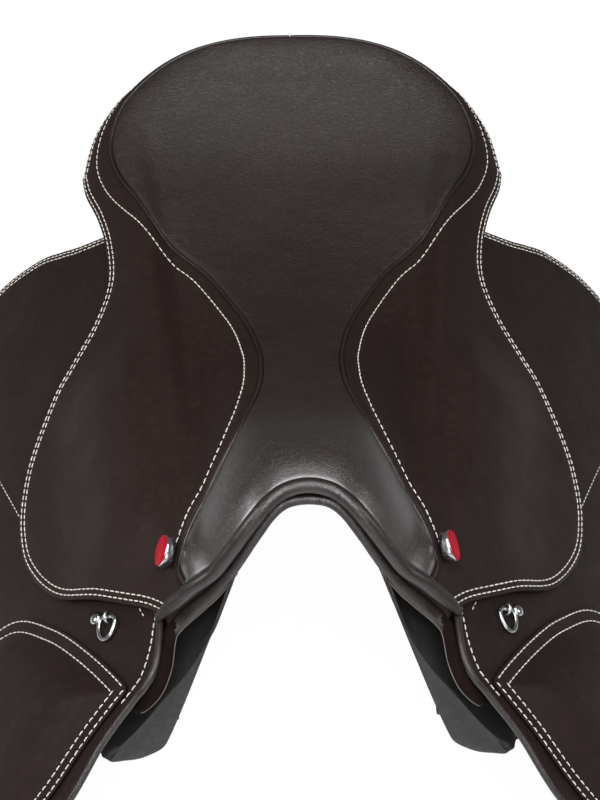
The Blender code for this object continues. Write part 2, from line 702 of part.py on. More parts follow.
roll_front = np.array([
    (-0.2640, 0.0530), (-0.2775 * front_reach, 0.0830 * drop), (-0.2960 * front_reach, 0.1200 * drop),
    (-0.3060 * front_reach, 0.1620 * drop), (-0.3010 * front_reach, 0.2130 * drop),
    (-0.2800 * front_reach, 0.2640 * drop), (-0.2480 * front_reach, 0.3050 * drop),
]) * [along, 1]
roll_rear = np.array([
    (-0.2570, 0.0515), (-0.2190, 0.0760), (-0.1850, 0.1040), (-0.1570, 0.1400), (-0.1530, 0.1900 * drop),
    (-0.1600, 0.2400 * drop), (-0.1880, 0.2900 * drop), (-0.2180, 0.3120 * drop),
]) * [along, 1]
roll_grid = patch([roll_front[0], roll_rear[0]], [roll_front[-1], roll_rear[-1]], roll_front, roll_rear, 13, 7)
u = np.linspace(0, 1, 7)[None, :]
v = np.linspace(0, 1, 13)[:, None]
knee_dome = 0.0035 + 0.0125 * np.sin(np.pi * u) ** 0.7 * np.sin(np.pi * (0.03 + 0.94 * v)) ** 0.6
roll_bottom = flap_point(roll_grid[..., 0], roll_grid[..., 1], 0.0006)
roll_top = flap_point(roll_grid[..., 0], roll_grid[..., 1], knee_dome)

for name, side in sides:
    head = sheet("flap_head_" + name, mirrored(head_points, side), flap_hide - 0.0005, "leather")
    bm = bmesh.new()
    bmesh.ops.create_cube(bm, size=1)
    hole_y = bar_front + 0.006
    centre = flap_point(np.array(hole_y), bar_inner + bar_width / 2)
    slope = float(np.interp(bar_inner + bar_width / 2, flap_arc[0], flap_arc[3]))
    size = (bar_width + 0.0016, 0.0150, 0.030)
    bmesh.ops.scale(bm, verts=bm.verts[:], vec=size)
    turn = Matrix.Rotation(slope, 4, "Y")
    bmesh.ops.transform(bm, matrix=Matrix.Translation(Vector(centre)) @ turn, verts=bm.verts[:])
    for vert in bm.verts:
        vert.co.x *= side
    if side < 0:
        bmesh.ops.reverse_faces(bm, faces=bm.faces[:])
    cut(head, cutter("bar_slit_" + name, bm))
    sheet("flap_" + name, mirrored(flap_points, side), flap_hide, "leather", mirrored(fold_origin, side))
    cushion(
        "knee_roll_" + name, mirrored(roll_bottom, side), mirrored(roll_top, side), "leather",
        mirrored(fold_origin, side),
    )

# sweat flaps, and the blocks between them and the flaps

sweat_front = np.array([
    (-0.2080, 0.0140), (-0.2330, 0.0480), (-0.2480, 0.0950), (-0.2500, 0.1500), (-0.2380, 0.2050),
    (-0.2080, 0.2550),
]) * [along, drop]
sweat_bottom = np.array([
    (-0.2080, 0.2550), (-0.1600, 0.2900), (-0.0900, 0.3080), (-0.0200, 0.3060), (0.0400, 0.2850), (0.0740, 0.2450),
]) * [along, drop]
sweat_rear = np.array([
    (0.0900, 0.0140), (0.0980, 0.0500), (0.1020, 0.1000), (0.1000, 0.1500), (0.0900, 0.2000), (0.0740, 0.2450),
]) * [along, drop]
sweat_top = np.array([(-0.2080, 0.0140), (0.0900, 0.0140)]) * [along, drop]
sweat_grid = patch(sweat_top, sweat_bottom, sweat_front, sweat_rear, 10, 9)
sweat_points = sweat_point(sweat_grid[..., 0], sweat_grid[..., 1])


def block(corner_front, corner_rear, top_s, bottom_s, height, rows, columns):
    left = [(corner_front[0], top_s), (corner_front[1], bottom_s)]
    right = [(corner_rear[0], top_s), (corner_rear[1], bottom_s)]
    grid = patch([left[0], right[0]], [left[1], right[1]], left, right, rows, columns)
    v = np.linspace(0, 1, rows)[:, None]
    u = np.linspace(0, 1, columns)[None, :]
    dome = 0.004 + height * np.sin(np.pi * u) ** 0.6 * np.sin(np.pi * (0.04 + 0.92 * v)) ** 0.45
    return sweat_point(grid[..., 0], grid[..., 1], 0.0006), sweat_point(grid[..., 0], grid[..., 1], dome)


knee_block = block(
    (-0.2300 * along, -0.1900 * along), (-0.1900 * along, -0.1520 * along), 0.085, 0.245 * drop, 0.0130, 9, 5
)
thigh_block = block(
    (0.0600 * along, 0.0500 * along), (0.0860 * along, 0.0740 * along), 0.120, 0.225 * drop, 0.0110, 7, 5
)
for name, side in sides:
    sheet("sweat_flap_" + name, mirrored(sweat_points, side), sweat_flap_hide, "leather")
    cushion("knee_block_" + name, mirrored(knee_block[0], side), mirrored(knee_block[1], side), "leather")
    cushion("thigh_block_" + name, mirrored(thigh_block[0], side), mirrored(thigh_block[1], side), "leather")

# panels: two stuffed cushions either side of the gullet channel

panel_depth = 0.0335
panel_y = np.array([-0.2230, -0.2050, -0.1600, -0.1100, -0.0600, 0.0, 0.0500, 0.1000, 0.1500, 0.1920, 0.2110])
panel_inner_x = np.array([0.0290, 0.0290, 0.0300, 0.0310, 0.0320, 0.0320, 0.0320, 0.0330, 0.0350, 0.0380, 0.0420])
foot_inner = np.array([
    (0.0640, -0.0300), (0.0640, -0.0340), (0.0620, -0.0360), (0.0560, -0.0280), (0.0460, -0.0080), (0.0370, 0.0060),
    (0.0340, 0.0060), (0.0350, 0.0060), (0.0380, 0.0080), (0.0420, 0.0200), (0.0470, 0.0360),
])
foot_outer = np.array([
    (0.1300, -0.0500), (0.1420, -0.0600), (0.1560, -0.0660), (0.1560, -0.0560), (0.1420, -0.0340), (0.1180, -0.0120),
    (0.1140, -0.0040), (0.1160, 0.0), (0.1140, 0.0060), (0.1040, 0.0220), (0.0900, 0.0400),
])
# the arch's inner line, which the panels stay outside of at the front
arch_wall = np.array([
    (0.0740, -0.0300), (0.0655, -0.0080), (0.0520, 0.0400), (0.0430, 0.0750), (0.0370, 0.0900), (0.0250, 0.1120),
])
panel_loops = []
for y0 in np.concatenate([[-0.2230, -0.2120, -0.1980], np.linspace(-0.1800, 0.1920, 13), [0.2030, 0.2110]]):
    y = y0 * along
    inner_x = np.interp(y0, panel_y, panel_inner_x)
    a = np.array([np.interp(y0, panel_y, foot_inner[:, n]) for n in (0, 1)])
    b = np.array([np.interp(y0, panel_y, foot_outer[:, n]) for n in (0, 1)])
    k = np.linspace(0, 1, 5)
    line_x = nail_line(y)[0]
    outer_x = line_x - 0.006 - 0.012 * step(y0, -0.170, -0.110) - 0.006 * step(y0, 0.130, 0.210)
    x = inner_x * across + (outer_x - inner_x * across) * k
    top = under(x, np.full(5, y), panel_depth)[:, [0, 2]]
    ceiling = pommel_height if y0 < 0.100 else pommel_height - 0.058
    top[:, 1] = np.minimum(top[:, 1], ceiling)
    shoulder_point = sweat_point(np.array(y), 0.006, -0.0048 - 0.0040 * step(-y0, 0.140, 0.200))[[0, 2]]
    shoulder_point[0] = min(shoulder_point[0], outer_x + 0.004)
    foot_a = a * [across, 1]
    foot_b = b * [across, 1]
    side_line = [shoulder_point + (foot_b - shoulder_point) * t for t in (0.34, 0.67, 1)]
    base = [foot_b + (foot_a - foot_b) * t + [0, -0.004 * math.sin(math.pi * t)] for t in (0.3, 0.7, 1)]
    back = [foot_a + (top[0] - foot_a) * t for t in (0.5,)]
    loop = np.array([*top, *side_line, *base, *back])
    cut_corner = 0.75 * loop + 0.125 * (np.roll(loop, 1, 0) + np.roll(loop, -1, 0))
    wall = np.interp(cut_corner[:, 1], arch_wall[:, 1], arch_wall[:, 0]) * (1 - step(y0, -0.150, -0.060))
    cut_corner[:, 0] = np.maximum(cut_corner[:, 0], wall * across)
    shift = np.clip((y0 + 0.150) / -0.073, 0, 1)
    ahead = -0.022 * np.clip((cut_corner[:, 0] - 0.029) / 0.060, 0, 1) * shift
    panel_loops.append(np.stack([cut_corner[:, 0], y + ahead, cut_corner[:, 1]], -1))
centre = panel_loops[0].mean(0)
panel_loops.insert(0, centre + (panel_loops[0] - centre) * 0.80 + [0, -0.006, 0])
centre = panel_loops[-1].mean(0)
panel_loops.append(centre + (panel_loops[-1] - centre) * 0.80 + [0, 0.005, 0])
for name, side in sides:
    loft("panel_" + name, [mirrored(loop, side) for loop in panel_loops], "lining")

# stirrup bars: base, riser and blade forged in one J, the blade slotted for its catch

bar_rear = bar_front + bar_length
base_top = -0.0074
base_bottom = -0.0100
blade_low = leather_slot - bar_recess
blade_high = blade_low + blade_thickness
pin_y = bar_rear - 0.0065
pin_h = blade_low + blade_thickness / 2
profile = [
    (bar_front, base_bottom), (bar_rear + 0.006, base_bottom), (bar_rear + 0.006, base_top),
    (bar_front + 0.012, base_top), (bar_front + 0.012, blade_low), (bar_rear, blade_low),
    (bar_rear, blade_high), (bar_front + 0.004, blade_high), (bar_front, blade_high - 0.004),
]


def bar_frame(y, s, h):
    return flap_point(np.asarray(y, float), s, h)


def box(bm, y_range, s_range, h_range):
    corners = bmesh.ops.create_cube(bm, size=1)["verts"]
    for vert in corners:
        y = y_range[0] if vert.co.y < 0 else y_range[1]
        s = s_range[0] if vert.co.x < 0 else s_range[1]
        h = h_range[0] if vert.co.z < 0 else h_range[1]
        vert.co = Vector(bar_frame(y, s, h))


def pin_axis(start_s, end_s, radius, segments):
    a = Vector(bar_frame(pin_y, start_s, pin_h))
    b = Vector(bar_frame(pin_y, end_s, pin_h))
    bm = bmesh.new()
    spin = (b - a).to_track_quat("Z", "Y").to_matrix().to_4x4()
    bmesh.ops.create_cone(
        bm, cap_ends=True, segments=segments, radius1=radius, radius2=radius, depth=(b - a).length,
        matrix=Matrix.Translation((a + b) / 2) @ spin,
    )
    return bm


def flip(bm, side):
    if side < 0:
        for vert in bm.verts:
            vert.co.x *= -1
        bmesh.ops.reverse_faces(bm, faces=bm.faces[:])
    return bm


bar_middle = bar_inner + bar_width / 2
tongue = 0.0038
catch_droop = math.radians(12)
for name, side in sides:
    bm = bmesh.new()
    face = bm.faces.new([bm.verts.new((y, h, 0)) for y, h in profile])
    out = bmesh.ops.extrude_face_region(bm, geom=[face])
    for item in out["geom"]:
        if isinstance(item, bmesh.types.BMVert):
            item.co.z = 1
    for vert in bm.verts:
        s = bar_inner + bar_width * vert.co.z
        vert.co = Vector(bar_frame(vert.co.x, s, vert.co.y) * [side, 1, 1])
    bar = solid(bm, "stirrup_bar_" + name, "steel")
    for n, (low, high) in enumerate(((bar_inner - 0.002, bar_middle - tongue),
                                     (bar_middle + tongue, bar_inner + bar_width + 0.002))):
        bm = bmesh.new()
        box(bm, (pin_y - 0.006, bar_rear + 0.002), (low, high), (blade_low - 0.002, blade_high + 0.002))
        cut(bar, cutter("bar_shoulder_%s_%d" % (name, n), flip(bm, side)))
    hole = pin_axis(bar_inner - 0.003, bar_inner + bar_width + 0.003, catch_pin_radius + pin_play, 16)
    cut(bar, cutter("bar_pin_hole_" + name, flip(hole, side)))
    pin = pin_axis(bar_inner + 0.0006, bar_inner + bar_width - 0.0006, catch_pin_radius, 16)
    solid(flip(pin, side), "catch_pin_" + name, "steel")

    bm = bmesh.new()
    outline = [
        (bar_inner + 0.0006, pin_y - 0.0030), (bar_middle - tongue - 0.0004, pin_y - 0.0030),
        (bar_middle - tongue - 0.0004, bar_rear + 0.0014), (bar_middle + tongue + 0.0004, bar_rear + 0.0014),
        (bar_middle + tongue + 0.0004, pin_y - 0.0030), (bar_inner + bar_width - 0.0006, pin_y - 0.0030),
        (bar_inner + bar_width - 0.0006, bar_rear + 0.0045), (bar_middle + 0.005, bar_rear + 0.0080),
        (bar_middle - 0.005, bar_rear + 0.0080), (bar_inner + 0.0006, bar_rear + 0.0045),
    ]
    face = bm.faces.new([bm.verts.new((s, y, pin_h - 0.0017)) for s, y in outline])
    out = bmesh.ops.extrude_face_region(bm, geom=[face])
    for item in out["geom"]:
        if isinstance(item, bmesh.types.BMVert):
            item.co.z = pin_h + 0.0017
    for vert in bm.verts:
        vert.co = Vector(bar_frame(vert.co.y, vert.co.x, vert.co.z) * [side, 1, 1])
    hinge_a = Vector(bar_frame(pin_y, bar_inner, pin_h) * [side, 1, 1])
    hinge_b = Vector(bar_frame(pin_y, bar_inner + bar_width, pin_h) * [side, 1, 1])
    lean = Matrix.Rotation(-catch_droop * side, 4, (hinge_b - hinge_a).normalized())
    about = Matrix.Translation(hinge_a) @ lean @ Matrix.Translation(-hinge_a)
    bmesh.ops.transform(bm, matrix=about, verts=bm.verts[:])
    catch = solid(bm, "stirrup_catch_" + name, "steel", hinge_a)
    hole = pin_axis(bar_inner - 0.003, bar_inner + bar_width + 0.003, catch_pin_radius + pin_play, 16)
    cut(catch, cutter("catch_pin_hole_" + name, flip(hole, side)))

# girth webs, billets and guards

billet_centres = np.array([-1, 0, 1]) * billet_pitch - 0.016
billet_top = 0.054
billet_rise = 0.0080


def strip(y, s, lift):
    base = sweat_point(np.full(len(s), y), s, lift)
    return np.stack([base + [0, billet_width * e, 0] for e in (-0.5, 0.5)], 1)


for name, side in sides:
    web_y = np.linspace(billet_centres[0] - 0.018, billet_centres[2] + 0.018, 5)
    web_s = np.linspace(0.030, billet_top + 0.014, 6)
    yy, ss = np.meshgrid(web_y, web_s)
    sheet("girth_web_" + name, mirrored(sweat_point(yy, ss, 0.0022), side), 0.0016, "webbing")
    for number, centre_y in enumerate(billet_centres):
        s = billet_top + np.concatenate([np.linspace(0, billet_length - 0.014, 13), [billet_length]])
        points = strip(centre_y, s, billet_rise + billet_thickness)
        points[-1, 0, 1] += billet_width * 0.28
        points[-1, 1, 1] -= billet_width * 0.28
        root_point = sweat_point(np.array(centre_y), billet_top + 0.006, billet_rise + billet_thickness)
        sheet(
            "billet_%d_%s" % (number + 1, name), mirrored(points, side), billet_thickness, "leather",
            mirrored(root_point, side),
        )
    guard_s = np.linspace(0.086, 0.138, 5)
    guard_y = np.linspace(billet_centres[0] - 0.019, billet_centres[2] + 0.019, 7)
    yy, ss = np.meshgrid(guard_y, guard_s)
    middle_y = billet_centres[1]
    front_lift = billet_rise + billet_thickness + 0.0026
    outer = sweat_point(yy, ss, front_lift + 0.0024)
    guard = sheet("girth_guard_" + name, mirrored(outer, side), 0.0024, "leather",
                  mirrored(outer[2, 3], side))
    half = billet_width / 2 + 0.0026
    keep_s = np.linspace(0.100, 0.124, 3)
    back_lift = billet_rise - 0.0028
    bm = bmesh.new()
    loops = []
    for s in keep_s:
        section = []
        for dy, lift in ((-half - 0.0020, front_lift + 0.0010), (-half - 0.0020, back_lift - 0.0018),
                         (half + 0.0020, back_lift - 0.0018), (half + 0.0020, front_lift + 0.0010),
                         (half, front_lift + 0.0010), (half, back_lift), (-half, back_lift),
                         (-half, front_lift + 0.0010)):
            section.append(mirrored(sweat_point(np.array(middle_y), s, lift) + [0, dy, 0], side))
        loops.append(section)
    rings = ringed(bm, loops)
    bm.faces.new(rings[0])
    bm.faces.new(rings[-1])
    keeper = cutter("guard_keeper_" + name, bm)
    join = guard.modifiers.new("keeper", "BOOLEAN")
    join.object = keeper
    join.operation = "UNION"
    join.solver = "EXACT"

# head nails, studs, staples and dee rings

nail_spot = (nail_spacing / 2, -0.202 * along)
stud_y = -0.2015 * along
stud_s = 0.0680


def outward(x, y):
    a = skin(np.array(x), np.array(y))
    b = skin(np.array(x), np.array(y), -0.010)
    return a, (b - a) / np.linalg.norm(b - a)


def flap_normal(y, s):
    a = flap_point(np.array(y), s)
    n = flap_point(np.array(y), s, 0.010) - a
    line = flap_point(np.array(y + 0.01), s) - a
    down = np.cross(line, n)
    normal = n / np.linalg.norm(n)
    return a, normal, line / np.linalg.norm(line), down / np.linalg.norm(down)


for name, side in sides:
    spot, normal = outward(*nail_spot)
    base = (spot + normal * nail_seat) * [side, 1, 1]
    axis = normal * (1 - nail_lean) + np.array([0.84, -0.05, 0.54]) * nail_lean
    axis = axis / np.linalg.norm(axis) * [side, 1, 1]
    r = nail_radius
    h = nail_height
    turned("head_nail_" + name, base, axis, [
        (0, h), (r * 0.90, h), (r, h - 0.0010), (r, h * 0.40), (r * 0.80, 0), (0, 0),
    ], "steel", 20)
    c = cap_radius
    t = cap_thickness
    turned("head_nail_cap_" + name, base + axis * (h + clearance), axis, [
        (0, t), (c * 0.55, t * 0.92), (c * 0.90, t * 0.62), (c, t * 0.25), (c * 0.98, 0), (0, 0),
    ], "red", 20)
    spot, normal, line, down = flap_normal(stud_y, stud_s)
    turned("dee_stud_" + name, (spot + normal * 0.0007) * [side, 1, 1], normal * [side, 1, 1], [
        (0, 0.0034), (stud_radius * 0.55, 0.0031), (stud_radius, 0.0016), (stud_radius, 0), (0, 0),
    ], "steel", 16)

ring_y = -0.2088 * along
ring_s = 0.0562
ring_turn = math.radians(30)
ring_bar_lift = 0.0034


def ring_axes():
    # the ring's bar lies along the skirt's edge
    spot, normal, line, down = flap_normal(ring_y, ring_s)
    ahead = line * math.cos(ring_turn) - down * math.sin(ring_turn)
    return spot, normal, ahead, down * math.cos(ring_turn) + line * math.sin(ring_turn)


for name, side in sides:
    spot, normal, line, down = ring_axes()
    hook = [
        spot + line * a + normal * b for a, b in (
            (0.0027, 0.0013), (0.0027, 0.0036), (0.0018, 0.0054), (0.0, 0.0061), (-0.0018, 0.0054),
            (-0.0027, 0.0036), (-0.0027, 0.0013),
        )
    ]
    rope("dee_staple_" + name, mirrored(hook, side), 0.0010, "steel")
    half = ring_width / 2
    droop = ring_bar_lift - ring_wire - 0.0006
    ring = [spot + down * (half * t) + normal * ring_bar_lift for t in np.linspace(-1, 1, 4)]
    for a in np.linspace(0, math.pi, 11)[1:-1]:
        reach = math.sin(a) ** 0.8
        ring.append(spot + down * (half * math.cos(a)) - line * (ring_length * reach)
                    + normal * (ring_bar_lift - droop * reach))
    rope("dee_ring_" + name, mirrored(ring, side), ring_wire, "steel", True,
         mirrored(spot + normal * ring_bar_lift, side))
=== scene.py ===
import math

import bpy
import numpy as np
from mathutils import Matrix, Vector
from mathutils.bvhtree import BVHTree
from mathutils.geometry import delaunay_2d_cdt


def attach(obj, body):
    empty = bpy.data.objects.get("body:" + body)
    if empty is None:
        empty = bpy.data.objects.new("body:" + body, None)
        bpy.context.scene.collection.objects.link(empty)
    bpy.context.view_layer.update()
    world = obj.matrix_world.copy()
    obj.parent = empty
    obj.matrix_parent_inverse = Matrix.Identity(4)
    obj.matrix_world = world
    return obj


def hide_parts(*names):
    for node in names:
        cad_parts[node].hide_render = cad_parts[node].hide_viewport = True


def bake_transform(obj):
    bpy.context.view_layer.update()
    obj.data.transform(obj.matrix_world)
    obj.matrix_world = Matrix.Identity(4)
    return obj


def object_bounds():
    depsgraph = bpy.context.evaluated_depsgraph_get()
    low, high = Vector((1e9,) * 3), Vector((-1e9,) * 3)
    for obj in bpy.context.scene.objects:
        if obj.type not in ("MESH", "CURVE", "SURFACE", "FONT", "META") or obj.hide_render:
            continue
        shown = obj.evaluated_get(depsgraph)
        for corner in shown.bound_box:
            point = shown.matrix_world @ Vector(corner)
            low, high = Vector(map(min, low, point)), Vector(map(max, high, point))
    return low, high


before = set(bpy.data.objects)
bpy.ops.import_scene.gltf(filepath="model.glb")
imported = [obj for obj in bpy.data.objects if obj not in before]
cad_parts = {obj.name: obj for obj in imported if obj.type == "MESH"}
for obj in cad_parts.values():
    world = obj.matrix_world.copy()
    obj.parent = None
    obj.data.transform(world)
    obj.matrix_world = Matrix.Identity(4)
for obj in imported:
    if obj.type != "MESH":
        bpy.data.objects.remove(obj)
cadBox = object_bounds()
sides = (("left", 1), ("right", -1))
print("frame loaded")

# the saddle's surfaces, as in the CAD: +X rider's left, -Y pommel, +Z up, metres

seatForm = {
    "stations": np.array([-0.24, -0.2, -0.15, -0.1, -0.05, 0.0, 0.05, 0.1, 0.15, 0.2, 0.25]),
    "crown": np.array([0.15, 0.15, 0.14298, 0.12894, 0.11301, 0.101022, 0.096, 0.099008, 0.11151, 0.143,
                       0.18812]),
    "shoulder": np.array([0.026, 0.03, 0.032, 0.034, 0.048, 0.068, 0.092, 0.112, 0.128, 0.13, 0.13]),
    "shoulderRound": np.array([9, 9, 9, 9, 12, 12, 11, 9, 8, 8, 8]) * 0.001,
    "sideFall": np.array([1.75, 1.75, 1.35, 1.05, 0.95, 1.0, 1.2, 1.5, 2.0, 2.2, 2.2]),
    "hollow": np.array([0, 0, 0, 0, 0, 0, 4, 8, 10, 8, 6]) * 0.001,
    "cantleStart": 0.15,
    "cantleDepth": 0.078,
    "cantleRound": 2.4,
}
flapForm = {
    "nailFront": (0.07, -0.2, 0.083),
    "nailRear": (0.112, 0.12, 0.095),
    "slopes": (42, 74),
    "drop": 0.383,
    "sweatSlopes": (47, 74),
    "sweatDrop": 0.333,
    "sweatInset": (0.011, 0.015),
    "fold": 0.048,
}
hide = {"seat": 0.0025, "skirt": 0.0045, "flap": 0.003, "sweat": 0.003, "gap": 0.0008, "rise": 0.0094}
barForm = {"front": -0.164, "length": 0.098, "inner": 0.014, "width": 0.02, "recess": 0.004}


def arcTable(slopes, reach):
    top, bottom = (math.radians(v) for v in slopes)
    s = np.arange(-0.08, 0.46, 0.001)
    angle = top + (bottom - top) * np.clip(np.maximum(s, 0) / reach, 0, 1.2) ** 1.5
    out = np.concatenate([[0], np.cumsum((np.cos(angle[1:]) + np.cos(angle[:-1])) * 0.0005)])
    down = np.concatenate([[0], np.cumsum((np.sin(angle[1:]) + np.sin(angle[:-1])) * 0.0005)])
    return s, out - out[80], down - down[80], angle


flapArc = arcTable(flapForm["slopes"], flapForm["drop"])
sweatArc = arcTable(flapForm["sweatSlopes"], flapForm["sweatDrop"])


def spline(u, a, b, c, d):
    # a smooth step from b to c as u goes from 0 to 1
    return 0.5 * (2 * b + (c - a) * u + (2 * a - 5 * b + 4 * c - d) * u**2 + (3 * b - a - 3 * c + d) * u**3)


def atStation(values, y):
    stations = seatForm["stations"]
    place = np.interp(y, stations, np.arange(len(stations)))
    i = np.clip(place.astype(int), 0, len(stations) - 2)
    u = place - i
    return spline(u, *(values[np.clip(i + k, 0, len(values) - 1)] for k in (-1, 0, 1, 2)))


def nailLine(y):
    a, b = flapForm["nailFront"], flapForm["nailRear"]
    k = (y - a[1]) / (b[1] - a[1])
    return a[0] + (b[0] - a[0]) * k, a[2] + (b[2] - a[2]) * k


def ramp(x, low, high):
    t = np.clip((x - low) / (high - low), 0, 1)
    return t * t * (3 - 2 * t)


def overBar(y, s):
    front, rear = barForm["front"], barForm["front"] + barForm["length"]
    inner, width = barForm["inner"], barForm["width"]
    ahead = ramp(y, front - 0.024, front + 0.002) * (1 - ramp(y, rear + 0.012, rear + 0.04))
    outside = 1 - ramp(s, inner + width + 0.0005, flapForm["fold"] - 0.0045)
    return ahead * ramp(s, inner - 0.02, inner - 0.002) * outside


def barSwell(y, s):
    # the skirt's soft rise over the bar, wider than the pocket under it
    front, rear = barForm["front"], barForm["front"] + barForm["length"]
    inner, width = barForm["inner"], barForm["width"]
    ahead = ramp(y, front - 0.052, front + 0.006) * (1 - ramp(y, rear + 0.004, rear + 0.07))
    return ahead * ramp(s, inner - 0.03, inner + 0.002) * (1 - ramp(s, inner + width - 0.004, 0.086))


def flapPoint(p, lift=0.0, arc=None, inset=(0.0, 0.0)):
    table = flapArc if arc is None else arc
    y, s = p[..., 0], p[..., 1]
    lineX, lineZ = nailLine(y)
    out, down, angle = (np.interp(s, table[0], table[k]) for k in (1, 2, 3))
    return np.stack([
        lineX - inset[0] + out + lift * np.sin(angle), y + 0 * out,
        lineZ - inset[1] - down + lift * np.cos(angle),
    ], -1)


def flapSkin(p, depth=0.0):
    return flapPoint(p, -depth - barForm["recess"] * overBar(p[..., 0], p[..., 1]))


def overSweat(lift):
    # a surface at a height over the sweat flap
    return lambda p, depth=0.0: flapPoint(p, lift - depth, sweatArc, flapForm["sweatInset"])


sweatSkin = overSweat(0.0)


def flapHeight(x, y, lift, rise):
    lineX, lineZ = nailLine(y)
    out = np.abs(x) - lineX
    s = np.interp(np.maximum(out, 0), flapArc[1], flapArc[0])
    down = np.interp(s, flapArc[0], flapArc[2])
    angle = np.interp(s, flapArc[0], flapArc[3])
    tuck = np.where(out < 0, math.tan(math.radians(flapForm["slopes"][0])) * out + out * out / 0.012, 0)
    foot = s - (lift + 0.75 * rise) * np.tan(angle)
    return lineZ - down + (lift + rise * barSwell(y, foot)) / np.cos(angle) - tuck


def seatHeight(x, y):
    f = seatForm
    x = np.abs(x)
    y = np.minimum(y, 0.26)
    behind = np.maximum(y - f["cantleStart"], 0) / f["cantleDepth"]
    widest = atStation(f["shoulder"], np.array(f["cantleStart"]))
    power = f["cantleRound"]
    reach = widest * ((x / widest) ** power + behind**power) ** (1 / power)
    reach = np.where(y > f["cantleStart"], reach, x)
    edge = atStation(f["shoulder"], np.minimum(y, f["cantleStart"]))
    soft = atStation(f["shoulderRound"], y)
    fall = np.logaddexp(0, (reach - edge) / soft) + np.logaddexp(0, (-reach - edge) / soft)
    fall = (fall - 2 * np.logaddexp(0, -edge / soft)) * soft * atStation(f["sideFall"], y)
    cup = atStation(f["hollow"], y) * (1 - np.exp(-((x / (0.8 * edge)) ** 2)))
    return atStation(f["crown"], y) - fall + cup


def upperHeight(x, y):
    a = seatHeight(x, y)
    b = flapHeight(x, y, hide["skirt"] + hide["gap"], hide["rise"])
    soft = 0.03
    h = np.maximum(soft - np.abs(a - b), 0) / soft
    return np.maximum(a, b) + h * h * soft / 4


def skin(p, depth=0.0):
    x, y = p[..., 0], p[..., 1]
    e = 0.0015
    z = upperHeight(x, y)
    gx = (upperHeight(x + e, y) - upperHeight(x - e, y)) / (2 * e)
    gy = (upperHeight(x, y + e) - upperHeight(x, y - e)) / (2 * e)
    size = np.sqrt(1 + gx * gx + gy * gy)
    return np.stack([x + depth * gx / size, y + depth * gy / size, z - depth / size], -1)


# paths and meshes

def smoothPath(points, spacing=None, count=None):
    p = np.array(points, float)
    p = np.vstack([2 * p[0] - p[1], p, 2 * p[-1] - p[-2]])
    u = np.linspace(0, 1, 24, endpoint=False)[:, None]
    dense = [spline(u, *four) for four in zip(p, p[1:], p[2:], p[3:])]
    return evenly(np.vstack([*dense, p[-2:-1]]), spacing, count)


def lengths(path):
    # how far along the path each of its points is
    return np.concatenate([[0], np.cumsum(np.linalg.norm(np.diff(path, axis=0), axis=1))])


def alongPath(places, run, path):
    return np.stack([np.interp(places, run, v) for v in path.T], -1)


def evenly(path, spacing=None, count=None):
    run = lengths(path)
    if count is None:
        count = max(2, int(round(run[-1] / spacing)) + 1)
    return alongPath(np.linspace(0, run[-1], count), run, path)


def shifted(path, distance):
    ahead = np.gradient(path, axis=0)
    ahead /= np.linalg.norm(ahead, axis=1)[:, None]
    return path + np.asarray(distance)[..., None] * np.stack([ahead[:, 1], -ahead[:, 0]], -1)


# where the upper roll's middle runs in plan, from the middle of the pommel outward
rollLine = np.array([
    (0, -0.2085), (0.012, -0.2108), (0.021, -0.2155), (0.03, -0.2215), (0.039, -0.226), (0.048, -0.2285),
    (0.058, -0.23), (0.068, -0.2302), (0.076, -0.2302), (0.086, -0.233),
])
rollDense = smoothPath(np.vstack([rollLine[:0:-1] * [-1, 1], rollLine]), 0.001)


def rollY(x):
    return np.interp(np.abs(x), rollDense[:, 0], rollDense[:, 1])


def pommelY(x):
    # the seat leather's front edge, behind the roll
    return rollY(x) + 0.003


def unit(v):
    return v / np.maximum(np.linalg.norm(v, axis=-1, keepdims=True), 1e-12)


def surfaceAxes(surface, p):
    e = 0.0005
    du = (surface(p + [e, 0]) - surface(p - [e, 0])) / (2 * e)
    dv = (surface(p + [0, e]) - surface(p - [0, e])) / (2 * e)
    return du, dv


def inward(surface, line, distance):
    # moves a line on the surface to its left by a real distance
    du, dv = surfaceAxes(surface, line)
    way = np.gradient(line, axis=0)
    ahead = unit(du * way[:, :1] + dv * way[:, 1:])
    left = unit(np.cross(np.cross(du, dv), ahead))
    a, b, c = (du * du).sum(1), (du * dv).sum(1), (dv * dv).sum(1)
    p, q = (du * left).sum(1), (dv * left).sum(1)
    move = np.stack([c * p - b * q, a * q - b * p], -1) / (a * c - b * b)[:, None]
    return line + np.asarray(distance)[..., None] * move


def leftward(outline, whole=None):
    # the outline in the order that keeps its inside on the left
    x, y = (outline if whole is None else whole).T
    return outline if np.sum(x * np.roll(y, -1) - y * np.roll(x, -1)) > 0 else outline[::-1]


def ringOf(outline):
    line = leftward(outline)
    return np.vstack([line, line[:2]])


def inside(polygon, p):
    a, b = polygon, np.roll(polygon, -1, 0)
    hit = np.zeros(len(p), bool)
    for (ax, ay), (bx, by) in zip(a, b):
        if ay == by:
            continue
        crosses = (ay > p[:, 1]) != (by > p[:, 1])
        hit ^= crosses & (p[:, 0] < (bx - ax) * (p[:, 1] - ay) / (by - ay) + ax)
    return hit


def distanceTo(line, p):
    best = np.full(len(p), 1e9)
    for a, b in zip(line, line[1:]):
        along = b - a
        t = np.clip(((p - a) @ along) / max(along @ along, 1e-15), 0, 1)
        best = np.minimum(best, ((p - a - t[:, None] * along) ** 2).sum(1))
    return np.sqrt(best)


def vertexNormals(points, faces):
    a, b, c = (points[faces[:, k]] for k in range(3))
    flat = np.cross(b - a, c - a)
    total = np.zeros_like(points)
    for k in range(3):
        np.add.at(total, faces[:, k], flat)
    return unit(total)


def onlyUsed(faces, count):
    # which points the faces use, and the faces numbered by those alone
    used = np.unique(faces)
    renumber = np.full(count, -1)
    renumber[used] = np.arange(len(used))
    return used, renumber[faces]


